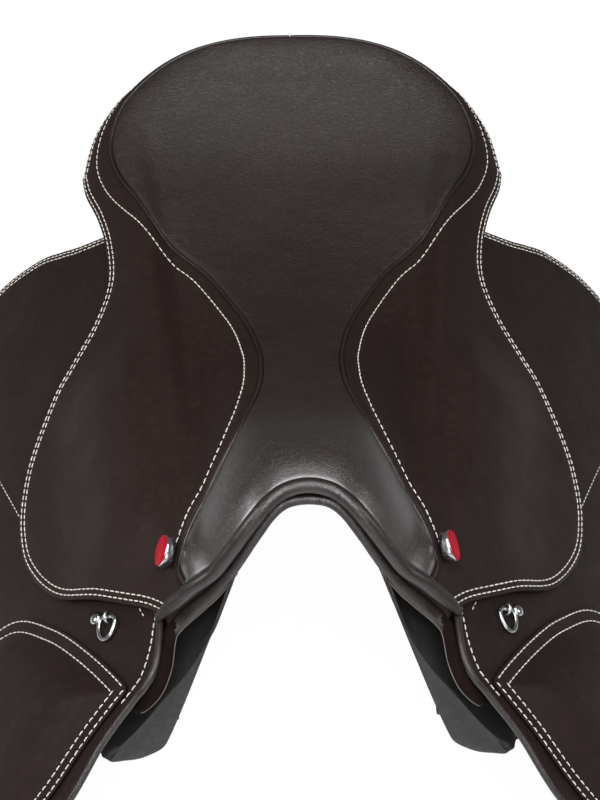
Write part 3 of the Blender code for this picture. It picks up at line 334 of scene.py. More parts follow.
groove = {"width": 0.0009, "side": 0.0008, "depth": 0.00035}  # the dent that a row of stitches pulls in


def closedOn(surface, outline):
    return surface(np.vstack([outline, outline[:1]]))


def seamPoints(surface, edges, lines):
    # rows of points beside edges and sewn lines, where the leather bends most
    extra = []
    for e in edges:
        steps = [e["round"] * k for k in (0.1, 0.38, 1.0)]
        for row in e.get("rows", ()):
            steps += [row - groove["side"], row, row + groove["side"]]
        steps += list(e.get("steps", ()))
        for step in sorted(steps):
            ring = inward(surface, e["line"], np.full(len(e["line"]), step))
            apart = distanceTo(e["place"], surface(ring))
            extra.append(ring[apart > 0.93 * step])
        e["reach"] = max(steps)
    for e in lines:
        for step in (-groove["width"], 0, groove["width"]):
            extra.append(inward(surface, e["line"], np.full(len(e["line"]), step)))
    return np.vstack(extra)


def fieldPoints(surface, outline, cell, edges, lines, holes):
    # an even field of points, clear of the border, the seams and the holes
    low, high = outline.min(0), outline.max(0)
    gx, gy = np.meshgrid(np.arange(low[0], high[0], cell), np.arange(low[1], high[1], cell * 0.87))
    gx[1::2] += cell / 2
    field = np.stack([gx.ravel(), gy.ravel()], -1)
    field = field[inside(outline, field)]
    at = surface(field)
    keep = distanceTo(closedOn(surface, outline), at) > 0.6 * cell
    clear = [(e["place"], e["reach"]) for e in edges] + [(e["place"], groove["width"]) for e in lines]
    for line, reach in clear + [(closedOn(surface, hole), 0) for hole in holes]:
        keep &= distanceTo(line, at) > reach + 0.5 * cell
    return field[keep]


def triangles(points, ties, outline, holes):
    # the sheet's triangles, inside the outline and outside the holes
    made = delaunay_2d_cdt([Vector(p * 1000) for p in points], ties, [], 0, 1e-4)
    flat = np.array([v[:] for v in made[0]]) / 1000
    faces = np.array(made[2])
    middle = flat[faces].mean(1)
    keep = inside(outline, middle)
    for hole in holes:
        keep &= ~inside(hole, middle)
    used, faces = onlyUsed(faces[keep], len(flat))
    return flat[used], faces


def hideRelief(base, edges, lines):
    # how deep a point lies at rounded edges and in grooves, and how far it is from a padded seam
    drop, dip, nearest = np.zeros(len(base)), np.zeros(len(base)), np.full(len(base), 1e9)
    for e in edges:
        d = distanceTo(e["place"], base)
        r = e["round"]
        drop = np.maximum(drop, r - np.sqrt(np.maximum(r * r - np.maximum(r - d, 0) ** 2, 0)))
        for row in e.get("rows", ()):
            dip += groove["depth"] * np.exp(-(((d - row) / groove["width"]) ** 2))
        if e.get("crown", True):
            nearest = np.minimum(nearest, d)
    for e in lines:
        dip += groove["depth"] * np.exp(-((distanceTo(e["place"], base) / groove["width"]) ** 2))
    return drop, dip, nearest


def cutHide(surface, outline, thickness, cell=0.003, edges=(), lines=(), holes=(), split=None, crown=None):
    # a sheet of leather cut to an outline on a surface; edges are rounded and sewn, lines are only sewn
    outline = leftward(outline)
    edges, lines = ([dict(e, place=surface(e["line"])) for e in group] for group in (edges, lines))
    near = seamPoints(surface, edges, lines)
    points = [*outline, *near[inside(outline, near)]]
    points += list(fieldPoints(surface, outline, cell, edges, lines, holes))
    ties = [(i, (i + 1) % len(outline)) for i in range(len(outline))]
    for hole in holes:
        ties += [(len(points) + i, len(points) + (i + 1) % len(hole)) for i in range(len(hole))]
        points += list(hole)
    if split is not None:
        ties += [(len(points) + i, len(points) + i + 1) for i in range(len(split) - 1)]
        points += list(split)
    flat, faces = triangles(points, ties, outline, holes)
    base = surface(flat)
    drop, dip, nearest = hideRelief(base, edges, lines)
    depth = drop + dip
    if crown is not None:
        depth = depth - crown(flat, base, nearest)
    lower = thickness - np.minimum(drop, 0.4 * thickness)
    top, bottom = surface(flat, depth), surface(flat, lower + 0 * depth)
    outer = surface(flat[:1], -0.001) - surface(flat[:1])
    if (vertexNormals(top, faces)[0] * outer[0]).sum() < 0:
        faces = faces[:, ::-1]  # seen from outside, each triangle runs left round
    return {"flat": flat, "base": base, "top": top, "bottom": bottom, "faces": faces,
            "topNormal": vertexNormals(top, faces), "bottomNormal": vertexNormals(bottom, faces[:, ::-1])}


def meshPiece(name, points, faces, normals=None, uv=None, side=1):
    points = points * [side, 1, 1]
    faces = [tuple(int(i) for i in (f if side > 0 else f[::-1])) for f in faces]
    mesh = bpy.data.meshes.new(name)
    mesh.from_pydata(points.tolist(), [], faces)
    if uv is not None:
        layer = mesh.uv_layers.new(name="hide")
        index = np.array([i for f in faces for i in f])
        layer.data.foreach_set("uv", uv[index].astype(np.float32).ravel())
    mesh.shade_smooth()
    if normals is not None:
        turned = [n * [side, 1, 1] for f in normals for n in (f if side > 0 else f[::-1])]
        mesh.normals_split_custom_set(np.array(turned).tolist())
    obj = bpy.data.objects.new(name, mesh)
    bpy.context.scene.collection.objects.link(obj)
    return obj


def sewHide(name, cut, side=1, keep=None):
    # the cut sheet as a closed mesh; keep picks the triangles of this piece
    faces = cut["faces"]
    if keep is not None:
        faces = faces[keep(cut["flat"][faces].mean(1))]
    used, faces = onlyUsed(faces, len(cut["flat"]))
    top, bottom = cut["top"][used], cut["bottom"][used]
    nTop, nBottom = cut["topNormal"][used], cut["bottomNormal"][used]
    n = len(used)
    ends = dict.fromkeys((f[k], f[k - 2]) for f in faces.tolist() for k in range(3))
    rim = [(a, b) for a, b in ends if (b, a) not in ends]
    rimNormal = np.zeros((n, 3))
    for a, b in rim:
        out = np.cross(top[b] - top[a], nTop[a])
        rimNormal[a] += out
        rimNormal[b] += out
    rimNormal = unit(rimNormal)
    allFaces = faces.tolist() + [[f[2] + n, f[1] + n, f[0] + n] for f in faces.tolist()]
    normals = [nTop[f] for f in faces] + [nBottom[f[::-1]] for f in faces]
    for a, b in rim:
        allFaces.append([b, a, a + n, b + n])
        normals.append(rimNormal[[b, a, a, b]])
    uv = np.vstack([cut["flat"][used]] * 2)
    return meshPiece(name, np.vstack([top, bottom]), allFaces, normals, uv, side)


def tubeFaces(count, sides, closed=False):
    # the faces between rings of points, with an end on the first and the last ring
    faces = []
    for i in range(count if closed else count - 1):
        j = (i + 1) % count
        for k in range(sides):
            m = (k + 1) % sides
            faces.append((i * sides + k, i * sides + m, j * sides + m, j * sides + k))
    if not closed:
        faces.append(tuple(range(sides - 1, -1, -1)))
        faces.append(tuple((count - 1) * sides + k for k in range(sides)))
    return faces


def sweep(name, path, radius, sides=14, side=1, closed=False, bumpy=0.0, seed=1, squashed=1.0, up=(0, 0, 1)):
    # a round or flattened roll along a path; bumpy is how unevenly it is stuffed
    path = np.array(path, float)
    ahead = unit(np.roll(path, -1, 0) - np.roll(path, 1, 0)) if closed else unit(np.gradient(path, axis=0))
    across = unit(np.cross(ahead, np.array(up, float)))
    over = unit(np.cross(across, ahead))
    radius = np.broadcast_to(np.asarray(radius, float), (len(path),)).copy()
    noise = np.random.default_rng(seed).standard_normal(len(path))
    noise = np.convolve(noise, np.ones(5) / 5, "same")
    radius = radius * (1 + bumpy * noise)
    squashed = np.broadcast_to(np.asarray(squashed, float), (len(path),))[:, None, None]
    angle = np.linspace(0, 2 * math.pi, sides, endpoint=False)
    cosine, sine = np.cos(angle)[None, :, None], np.sin(angle)[None, :, None]
    ring = cosine * across[:, None] + squashed * sine * over[:, None]
    points = path[:, None] + ring * radius[:, None, None]
    run = lengths(path)
    uv = np.stack([np.repeat(run, sides), np.tile(angle * radius.mean(), len(path))], -1)
    obj = meshPiece(name, points.reshape(-1, 3), tubeFaces(len(path), sides, closed), None, uv, side)
    obj.data.set_sharp_from_angle(angle=math.radians(50))
    return obj


stitch = {"pitch": 0.0047, "length": 0.0036, "radius": 0.0004, "sag": 0.00035, "sunk": 0.00005,
          "tilt": 0.035, "uneven": 0.04}


def stitchMesh(name, runs, side=1, keep=None):
    # each run is (path, normals); every stitch is a short thread that dives into the leather at its ends
    half = stitch["length"] / 2
    along = np.array([-1, -0.93, -0.6, 0, 0.6, 0.93, 1]) * half
    thick = np.array([0.25, 0.7, 0.95, 1, 0.95, 0.7, 0.25]) * stitch["radius"]
    rise = -stitch["sag"] * (along / half) ** 4
    angle = np.linspace(0, 2 * math.pi, 6, endpoint=False)
    form = np.stack([
        np.repeat(along, 6), (thick[:, None] * np.cos(angle)).ravel(),
        (rise[:, None] + thick[:, None] * np.sin(angle)).ravel(),
    ], -1)
    pattern = np.array(tubeFaces(7, 6)[:-2])
    points, faces, count = [], [], 0
    rng = np.random.default_rng(7)
    for path, normal in runs:
        run = lengths(path)
        places = np.arange(stitch["pitch"] / 2, run[-1], stitch["pitch"])
        at, n = (alongPath(places, run, v) for v in (path, normal))
        ahead = unit(alongPath(places + half, run, path) - alongPath(places - half, run, path))
        n = unit(n - (n * ahead).sum(1)[:, None] * ahead)
        cross = np.cross(n, ahead)
        tilt = rng.normal(0, stitch["tilt"], len(at))[:, None]
        ahead, cross = ahead + cross * tilt, cross - ahead * tilt
        chosen = np.ones(len(at), bool) if keep is None else keep(at)
        for p, a, c, u in zip(at[chosen], ahead[chosen], cross[chosen], n[chosen]):
            size = 1 + rng.normal(0, stitch["uneven"])
            points.append(p + form[:, :1] * a * size + form[:, 1:2] * c + form[:, 2:] * u)
            faces.append(pattern + count)
            count += len(form)
    return meshPiece(name, np.vstack(points), np.vstack(faces), None, None, side)


def seamRun(surface, line):
    # a row of stitches on a surface: its path and the surface's normals
    place = surface(line, stitch["sunk"] + 0 * line[:, 0])
    return place, unit(surface(line, -0.001 + 0 * line[:, 0]) - surface(line))


def rowInside(surface, ring, distance):
    return seamRun(surface, inward(surface, ring, np.full(len(ring), distance)))


def pieces(run, picked):
    # the parts of a run where picked is true
    parts = np.split(np.arange(len(run)), np.flatnonzero(np.diff(picked.astype(int))) + 1)
    return [run[p] for p in parts if picked[p[0]] and len(p) > 2]


def cleanRow(surface, ring, distance):
    # a row of stitches at a distance inside an edge, without the overshoot at its corners
    run = inward(surface, ring, np.full(len(ring), distance))
    apart = distanceTo(surface(ring), surface(run))
    return [seamRun(surface, part) for part in pieces(run, apart > 0.96 * distance)]


# padding

clothFeel = {"quality": 5, "mass": 0.2, "tension_stiffness": 22, "compression_stiffness": 14,
             "shear_stiffness": 8, "bending_stiffness": 0.6}


def inflate(points, faces, pinned, pressure, cap, frames=20):
    # a sewn cover swells between its seams as a cloth under pressure; cap is the longest move
    mesh = bpy.data.meshes.new("swelling")
    mesh.from_pydata(points.tolist(), [], [tuple(int(i) for i in f) for f in faces])
    obj = bpy.data.objects.new("swelling", mesh)
    scene = bpy.context.scene
    scene.collection.objects.link(obj)
    obj.vertex_groups.new(name="seam").add([int(i) for i in pinned], 1.0, "REPLACE")
    cloth = obj.modifiers.new("cloth", "CLOTH")
    for key, value in {**clothFeel, "vertex_group_mass": "seam", "use_pressure": True,
                       "uniform_pressure_force": pressure}.items():
        setattr(cloth.settings, key, value)
    cloth.settings.effector_weights.gravity = 0
    cloth.collision_settings.use_collision = False
    cloth.point_cache.frame_end = frames
    for step in range(1, frames + 1):
        scene.frame_set(step)
    swollen = np.empty(len(points) * 3, np.float32)
    obj.evaluated_get(bpy.context.evaluated_depsgraph_get()).data.vertices.foreach_get("co", swollen)
    move = swollen.reshape(-1, 3) - points
    size = np.linalg.norm(move, axis=1, keepdims=True)
    bpy.data.objects.remove(obj)
    bpy.data.meshes.remove(mesh)
    scene.frame_set(1)
    return points + move * np.minimum(1, cap / np.maximum(size, 1e-9))


def swellCover(cut, rim, still, pressure, cap):
    # swells the outer face of a cut cover beyond its sewn edge
    near = distanceTo(rim, cut["base"])
    cut["top"] = inflate(cut["top"], cut["faces"], np.flatnonzero(near < still), pressure, cap)
    cut["topNormal"] = vertexNormals(cut["top"], cut["faces"])
    return cut


# materials

def newMaterial(name):
    material = bpy.data.materials.new(name)
    material.use_nodes = True
    tree = material.node_tree
    return material, tree, tree.nodes["Principled BSDF"]


def setInputs(shader, **values):
    for label, value in values.items():
        shader.inputs[label.replace("_", " ")].default_value = value


def newGroup(name, inputs, outputs):
    tree = bpy.data.node_groups.new(name, "ShaderNodeTree")
    for label, kind, value in inputs:
        socket = tree.interface.new_socket(label, in_out="INPUT", socket_type=kind)
        if value is not None:
            socket.default_value = value
    for label, kind in outputs:
        tree.interface.new_socket(label, in_out="OUTPUT", socket_type=kind)
    return tree, tree.nodes.new("NodeGroupInput"), tree.nodes.new("NodeGroupOutput")


def node(tree, kind, inputs=None, **settings):
    made = tree.nodes.new(kind)
    for key, value in settings.items():
        setattr(made, key, value)
    for key, value in (inputs or {}).items():
        if isinstance(value, bpy.types.NodeSocket):
            tree.links.new(value, made.inputs[key])
        else:
            made.inputs[key].default_value = value
    return made


def maths(tree, operation, a, b=None, clamp=False):
    inputs = {0: a}
    if b is not None:
        inputs[1] = b
    return node(tree, "ShaderNodeMath", inputs, operation=operation, use_clamp=clamp).outputs[0]


def vectors(tree, operation, inputs):
    return node(tree, "ShaderNodeVectorMath", inputs, operation=operation).outputs[0]


def spread(tree, value, low, high, low2=0.0, high2=1.0, kind="LINEAR"):
    inputs = {0: value, 1: low, 2: high, 3: low2, 4: high2}
    return node(tree, "ShaderNodeMapRange", inputs, interpolation_type=kind).outputs[0]


def noise(tree, place, scale, detail, **more):
    return node(tree, "ShaderNodeTexNoise", {"Vector": place, "Scale": scale, "Detail": detail, **more})


def twoTone(tree, share, dark, light):
    colours = (c if isinstance(c, bpy.types.NodeSocket) else (*c, 1) for c in (dark, light))
    inputs = dict(zip(("Factor", 6, 7), (share, *colours)))
    return node(tree, "ShaderNodeMix", inputs, data_type="RGBA").outputs[2]


def dressShader(tree, shader, colour, height, depth, **settings):
    # the colour and the relief that every finish has
    tree.links.new(colour, shader.inputs["Base Color"])
    bump = node(tree, "ShaderNodeBump", {"Height": height, "Distance": depth, "Strength": 1.0}, **settings)
    tree.links.new(bump.outputs[0], shader.inputs["Normal"])


def hideGrainGroup():
    # pores, creases and slow changes of a hide, shared by every leather
    tree, start, end = newGroup("hide grain", [
        ("Vector", "NodeSocketVector", None), ("Pore Scale", "NodeSocketFloat", 700.0),
        ("Pore Depth", "NodeSocketFloat", 0.0001), ("Wrinkle Scale", "NodeSocketFloat", 160.0),
        ("Wrinkle Depth", "NodeSocketFloat", 0.0003), ("Stretch", "NodeSocketVector", (1.0, 1.0, 1.0)),
    ], [("Height", "NodeSocketFloat"), ("Crease", "NodeSocketFloat"), ("Drift", "NodeSocketFloat"),
        ("Polish", "NodeSocketFloat")])
    place = start.outputs["Vector"]
    wobble = noise(tree, place, 90.0, 2.0).outputs["Color"]
    shift = vectors(tree, "SUBTRACT", {0: wobble, 1: (0.5, 0.5, 0.5)})
    shift = vectors(tree, "SCALE", {0: shift, "Scale": 0.006})
    moved = vectors(tree, "ADD", {0: place, 1: shift})
    pulled = vectors(tree, "MULTIPLY", {0: moved, 1: start.outputs["Stretch"]})
    pebble, crease = (
        spread(tree, node(tree, "ShaderNodeTexVoronoi", {"Vector": at, "Scale": start.outputs[label]},
                          feature="DISTANCE_TO_EDGE").outputs["Distance"], 0.0, wide, kind="SMOOTHSTEP")
        for at, label, wide in ((moved, "Pore Scale", 0.22), (pulled, "Wrinkle Scale", 0.3)))
    waves = noise(tree, pulled, 60.0, 5.0, Roughness=0.65)
    mixed = maths(tree, "MULTIPLY", crease, maths(tree, "MULTIPLY_ADD", waves.outputs[0], 1.2))
    fine = maths(tree, "MULTIPLY", pebble, start.outputs["Pore Depth"])
    broad = maths(tree, "MULTIPLY", mixed, start.outputs["Wrinkle Depth"])
    outputs = {"Height": maths(tree, "ADD", fine, broad), "Crease": crease,
               "Drift": noise(tree, place, 14.0, 4.0).outputs[0],
               "Polish": noise(tree, place, 38.0, 3.0).outputs[0]}
    for label, value in outputs.items():
        tree.links.new(value, end.inputs[label])
    return tree


hideGrain = hideGrainGroup()


def leather(name, dark, light, rough, pore, wrinkle, stretch=(1, 1, 1), shine=0.35, worn=None):
    # pore and wrinkle are a scale and a depth; worn is where along the saddle it is waxed and rubbed smooth
    material, tree, shader = newMaterial(name)
    place = node(tree, "ShaderNodeTexCoord")
    grain = node(tree, "ShaderNodeGroup")
    grain.node_tree = hideGrain
    tree.links.new(place.outputs["Object"], grain.inputs["Vector"])
    setInputs(grain, Pore_Scale=pore[0], Pore_Depth=pore[1], Stretch=stretch,
              Wrinkle_Scale=wrinkle[0], Wrinkle_Depth=wrinkle[1])
    tone = maths(tree, "MULTIPLY_ADD", grain.outputs["Drift"], 1.6, clamp=True)
    tone.node.inputs[2].default_value = -0.3
    # the grain's creases are painted darker: painted shade in the grooves
    creaseShade = spread(tree, grain.outputs["Crease"], 0.0, 1.0, 0.72)
    colour = twoTone(tree, creaseShade, [c * 0.4 for c in dark], twoTone(tree, tone, dark, light))
    gloss = spread(tree, grain.outputs["Polish"], 0.3, 0.7, *rough)
    if worn is not None:
        along = node(tree, "ShaderNodeSeparateXYZ", {0: place.outputs["Object"]}).outputs["Y"]
        rubbed = spread(tree, along, *worn["between"], worn["rough"], 1.0, kind="SMOOTHSTEP")
        gloss = maths(tree, "MULTIPLY", gloss, rubbed)
        wax = spread(tree, along, *worn["between"], worn["wax"], 0.0, kind="SMOOTHSTEP")
        tree.links.new(wax, shader.inputs["Coat Weight"])
        setInputs(shader, Coat_IOR=1.8, Coat_Roughness=0.32)
    tree.links.new(gloss, shader.inputs["Roughness"])
    dressShader(tree, shader, colour, grain.outputs["Height"], 1.0)
    setInputs(shader, Specular_IOR_Level=shine)
    return material


def metal(name, colour, rough, metallic=1.0, scratch=0.00001, shine=0.5):
    material, tree, shader = newMaterial(name)
    place = node(tree, "ShaderNodeTexCoord").outputs["Object"]
    marks, haze = noise(tree, place, 500.0, 4.0).outputs[0], noise(tree, place, 70.0, 3.0).outputs[0]
    dressShader(tree, shader, twoTone(tree, haze, [c * 0.8 for c in colour], colour), marks, scratch)
    tree.links.new(spread(tree, haze, 0.3, 0.7, rough * 0.75, rough * 1.25), shader.inputs["Roughness"])
    setInputs(shader, Metallic=metallic, Specular_IOR_Level=shine)
    return material


def woven(name, dark, light, thread, rough=0.85):
    material, tree, shader = newMaterial(name)
    place = node(tree, "ShaderNodeTexCoord").outputs["Object"]
    split = node(tree, "ShaderNodeSeparateXYZ", {0: place}).outputs
    turns = 2 * math.pi / thread
    slope = maths(tree, "ADD", split["X"], split["Z"])
    a, b = (maths(tree, "SINE", maths(tree, "MULTIPLY", v, turns)) for v in (split["Y"], slope))
    weave = maths(tree, "MULTIPLY", a, b)
    lint = noise(tree, place, 300.0, 4.0).outputs[0]
    tone = maths(tree, "ADD", maths(tree, "MULTIPLY", weave, 0.25), lint, clamp=True)
    dressShader(tree, shader, twoTone(tree, tone, dark, light), weave, 0.00012)
    setInputs(shader, Roughness=rough, Sheen_Weight=0.2)
    return material


def laminated(name):
    material, tree, shader = newMaterial(name)
    place = node(tree, "ShaderNodeTexCoord").outputs["Object"]
    pulled = node(tree, "ShaderNodeMapping", {"Vector": place, "Scale": (60, 8, 500)}).outputs[0]
    fibre = noise(tree, pulled, 4.0, 6.0).outputs[0]
    dressShader(tree, shader, twoTone(tree, fibre, (0.2, 0.115, 0.05), (0.52, 0.35, 0.19)), fibre, 0.0002)
    setInputs(shader, Roughness=0.5, Coat_Weight=0.3)
    return material


def foamed(name):
    material, tree, shader = newMaterial(name)
    place = node(tree, "ShaderNodeTexCoord").outputs["Object"]
    cells = node(tree, "ShaderNodeTexVoronoi", {"Vector": place, "Scale": 700.0}).outputs["Distance"]
    colour = twoTone(tree, cells, (0.72, 0.66, 0.47), (0.55, 0.48, 0.3))
    dressShader(tree, shader, colour, cells, 0.0004, invert=True)
    setInputs(shader, Roughness=0.9)
    return material


seatLeather = leather("seat leather", (0.012, 0.0066, 0.0058), (0.019, 0.0108, 0.0094), (0.42, 0.52),
                      (900, 0.00013), (240, 0.00007), (0.6, 1.3, 1.0), shine=0.5,
                      worn={"between": (-0.17, -0.11), "rough": 0.55, "wax": 1.0})
skirtLeather = leather("skirt leather", (0.015, 0.0083, 0.0072), (0.0205, 0.0115, 0.01), (0.48, 0.6),
                       (1000, 0.00004), (120, 0.00003), shine=0.16)
flapLeather = leather("flap leather", (0.0138, 0.0078, 0.007), (0.019, 0.0108, 0.0098), (0.48, 0.6),
                      (1000, 0.00005), (110, 0.00004), shine=0.12)
pipingLeather = leather("piping leather", (0.0125, 0.008, 0.0074), (0.0185, 0.012, 0.011), (0.28, 0.36),
                        (1000, 0.00004), (260, 0.00005), shine=0.6)
liningLeather = leather("lining leather", (0.033, 0.0315, 0.0305), (0.046, 0.044, 0.043), (0.62, 0.74),
                        (1100, 0.00003), (120, 0.00005), shine=0.3)
strapLeather = leather("strap leather", (0.018, 0.0112, 0.0096), (0.027, 0.0168, 0.014), (0.48, 0.6),
                       (900, 0.00005), (90, 0.00005), shine=0.35)
# the gullet band below its turn: matt, and its colour painted darker as painted shade
bandShadeLeather = leather("band leather with painted shade", (0.0075, 0.0042, 0.0036), (0.011, 0.0062, 0.0054), (0.62, 0.74),
                        (1000, 0.00003), (110, 0.00003), shine=0.04)
cutEdgeLeather = leather("cut leather edge", (0.115, 0.098, 0.088), (0.165, 0.142, 0.128), (0.55, 0.7),
                         (900, 0.00003), (90, 0.00003), shine=0.3)
linenThread = woven("linen thread", (0.66, 0.62, 0.55), (0.86, 0.83, 0.77), 0.0006, 0.8)
brightMetal = metal("bright metal", (0.6, 0.6, 0.61), 0.22)
barSteel = metal("bar steel", (0.56, 0.56, 0.57), 0.3)
treeSteel = metal("tree steel", (0.32, 0.33, 0.35), 0.42)
redEnamel = metal("red enamel", (0.4, 0.001, 0.014), 0.45, 0.0, 0.000005, shine=0.08)
webbing = woven("webbing", (0.4, 0.35, 0.26), (0.66, 0.6, 0.47), 0.0022)
canvas = woven("canvas", (0.44, 0.4, 0.31), (0.68, 0.63, 0.5), 0.0012)
laminate = laminated("laminated wood")
foam = foamed("seat foam")
print("materials made")


def place(obj, material, slotName, body=None, stands=(), fold=None):
    obj.data.materials.append(material)
    if fold is not None:
        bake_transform(obj)
    else:
        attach(obj, body)
    if stands:
        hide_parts(*stands)
    return obj


def sewn(label, cut, rows, finish, slotName, stands=(), side=1, hideWord="Leather", **carried):
    # a cut hide and its rows of stitches on the same body
    piece = place(sewHide(label % hideWord, cut, side), finish, slotName, stands=stands, **carried)
    place(stitchMesh(label % "Stitches", rows, side), linenThread, slotName, **carried)
    return piece


# outlines in plan, rider's left side

seamSide = [
    (0.066, -0.23), (0.0715, -0.214), (0.0705, -0.203), (0.062, -0.183), (0.05, -0.165),
    (0.039, -0.1465), (0.0305, -0.125), (0.0255, -0.103), (0.0242, -0.082), (0.0255, -0.055),
    (0.0345, -0.013), (0.056, 0.035), (0.08, 0.066), (0.1025, 0.101), (0.119, 0.133),
    (0.125, 0.16), (0.117, 0.187),
]
seamCantle = [(0.117, 0.187), (0.097, 0.206), (0.0665, 0.219), (0.035, 0.2248), (0, 0.2262)]
skirtEdge = [
    (0.0805, -0.2338), (0.093, -0.2185), (0.119, -0.196), (0.149, -0.168), (0.169, -0.132),
    (0.1765, -0.099), (0.1765, -0.07), (0.1715, -0.043), (0.158, -0.01), (0.146, 0.006),
    (0.132, 0.025), (0.124, 0.049), (0.126, 0.08), (0.133, 0.11), (0.1425, 0.138), (0.146, 0.155),
]
cantleEdge = [
    (0.146, 0.155), (0.138, 0.187), (0.1227, 0.206), (0.1033, 0.219), (0.074, 0.23),
    (0.0428, 0.236), (0, 0.2376),
]
seamPath = smoothPath([*seamSide, *seamCantle[1:]], 0.0022)
edgePath = np.vstack([smoothPath(skirtEdge, 0.0024)[:-1], smoothPath(cantleEdge, 0.0024)])
foldTop = hide["skirt"] + hide["gap"]


def foldX(y):
    y = np.asarray(y, float)
    return flapPoint(np.stack([y, 0 * y + flapForm["fold"]], -1), foldTop)[..., 0]


# where flap and skirt bend when they lift: a strip at the fold line, then the skirt's own strip beyond it
foldAt = flapPoint(np.array([-0.1, flapForm["fold"]]), foldTop)
foldAlong = unit(flapPoint(np.array([0.0, flapForm["fold"]]), foldTop) - foldAt)
foldSlope = np.interp(flapForm["fold"], flapArc[0], flapArc[3])
foldOut = np.array([math.cos(foldSlope), 0, -math.sin(foldSlope)])
foldOut = unit(foldOut - foldAlong * (foldOut @ foldAlong))
foldStrip, skirtStrip = 0.012, 0.044


def foldBlend(name, side, start, end, a, b):
    flip = np.array([side, 1, 1])
    ends = [tuple((foldAt + foldOut * d) * flip) for d in (start, end)]
    bodies = [body if body == "saddle" else body + "_" + name for body in (a, b)]
    return (*bodies, *ends)


# seat

seatLook = {"edgeRound": 0.0026, "pucker": 0.00022, "puckerPitch": 0.0115, "seamGap": 0.0009,
            "frontSwell": 0.0046, "frontSoft": 0.009}
coverRight = shifted(seamPath, -seatLook["seamGap"])
coverRight = coverRight[coverRight[:, 1] > pommelY(coverRight[:, 0]) + 0.002]
coverRight[-1, 0] = 0
frontX = np.arange(-coverRight[0, 0], coverRight[0, 0] + 0.001, 0.0026)
coverFront = np.stack([frontX, pommelY(frontX) + 0.0006], -1)
coverOutline = np.vstack([coverFront, coverRight[:-1], (coverRight * [-1, 1])[::-1][:-1]])


def seatRelief(flat, base, near):
    # soft puckers along the seams, and the leather's turn down to the roll at the pommel
    wave = np.sin(2 * math.pi * base[:, 1] / seatLook["puckerPitch"] + 3 * np.sin(base[:, 1] * 90))
    fade = np.exp(-((near / 0.008) ** 2)) * ramp(near, 0.0, 0.004)
    ahead = distanceTo(skin(coverFront), base)
    swell = (1 - np.exp(-((ahead / seatLook["frontSoft"]) ** 1.5))) * (1 - ramp(ahead, 0.024, 0.085))
    return fade * wave * seatLook["pucker"] + seatLook["frontSwell"] * swell * ramp(near, 0.0, 0.008)


ringLeft = np.vstack([coverRight, (coverRight * [-1, 1])[::-1][1:]])
cover = cutHide(skin, coverOutline, hide["seat"], 0.0034, [
    {"line": ringLeft, "round": seatLook["edgeRound"], "steps": (0.0045,)},
    {"line": coverFront, "round": 0.0016, "crown": False, "steps": (0.003,)},
], crown=seatRelief)
place(sewHide("seatCoverLeather", cover), seatLeather, "seat_leather", "saddle", ["seat_cover"])
print("seat cover", len(cover["flat"]))

# skirts

skirtLook = {"edgeRound": 0.0014, "rows": (0.0026, 0.0059), "seamGap": 0.0009}
skirtInner = shifted(seamPath, skirtLook["seamGap"])
skirtInner = skirtInner[skirtInner[:, 1] > -0.231]
skirtInner = np.vstack([skirtInner[:-1], [[0.0002, skirtInner[-1, 1]]]])
skirtOuter = np.vstack([edgePath[:-1], [[0.0002, edgePath[-1, 1]]]])
skirtOutline = np.vstack([skirtOuter, skirtInner[::-1]])
rowSteps = np.array([(-0.215, 4.4), (-0.19, 4.8), (-0.165, 6.5), (-0.14, 8.5), (-0.115, 9.8), (0.15, 9.8),
                     (0.19, 8)])  # place along the saddle, and millimetres from the seam
innerRow = shifted(seamPath, np.interp(seamPath[:, 1], *rowSteps.T) * 0.001)
innerRow = innerRow[(innerRow[:, 1] > -0.205) & (innerRow[:, 0] > 0.004)]
splitY = np.arange(-0.226, 0.04, 0.0025)
splitLine = np.stack([foldX(splitY) + foldStrip * foldOut[0], splitY], -1)
splitLine = splitLine[inside(skirtOutline, splitLine)]
splitLine = np.vstack([2 * splitLine[0] - splitLine[1], splitLine, 2 * splitLine[-1] - splitLine[-2]])
skirt = cutHide(skin, skirtOutline, hide["skirt"], 0.0034, [
    {"line": skirtOuter, "round": skirtLook["edgeRound"], "rows": skirtLook["rows"]},
    {"line": skirtInner[::-1], "round": 0.002, "steps": (0.0036,)},
], [{"line": innerRow}], split=splitLine)
skirtRows = [rowInside(skin, skirtOuter[1:], row) for row in skirtLook["rows"]] + [seamRun(skin, innerRow)]


def beyondSplit(p):
    # past the strip at the fold line, in plan
    return (p[:, 0] > foldX(p[:, 1]) + foldStrip * foldOut[0]) & (p[:, 1] < 0.045)


for name, side in sides:
    topFold = foldBlend(name, side, 0, foldStrip, "saddle", "flap")
    lowFold = foldBlend(name, side, foldStrip, skirtStrip, "flap", "skirt")
    piece = sewHide("skirtTop_" + name, skirt, side, lambda p: ~beyondSplit(p))
    place(piece, skirtLeather, "skirt_leather", stands=["skirt_top_" + name], fold=topFold)
    piece = sewHide("skirtLower_" + name, skirt, side, beyondSplit)
    place(piece, skirtLeather, "skirt_leather", stands=["skirt_" + name], fold=lowFold)
    piece = stitchMesh("skirtTopStitches_" + name, skirtRows, side, lambda p: ~beyondSplit(p[:, :2]))
    place(piece, linenThread, "skirt_leather", fold=topFold)
    piece = stitchMesh("skirtLowerStitches_" + name, skirtRows, side, lambda p: beyondSplit(p[:, :2]))
    place(piece, linenThread, "skirt_leather", fold=lowFold)
print("skirts", len(skirt["flat"]))

# welts in the seat seams, and the rolls round the pommel

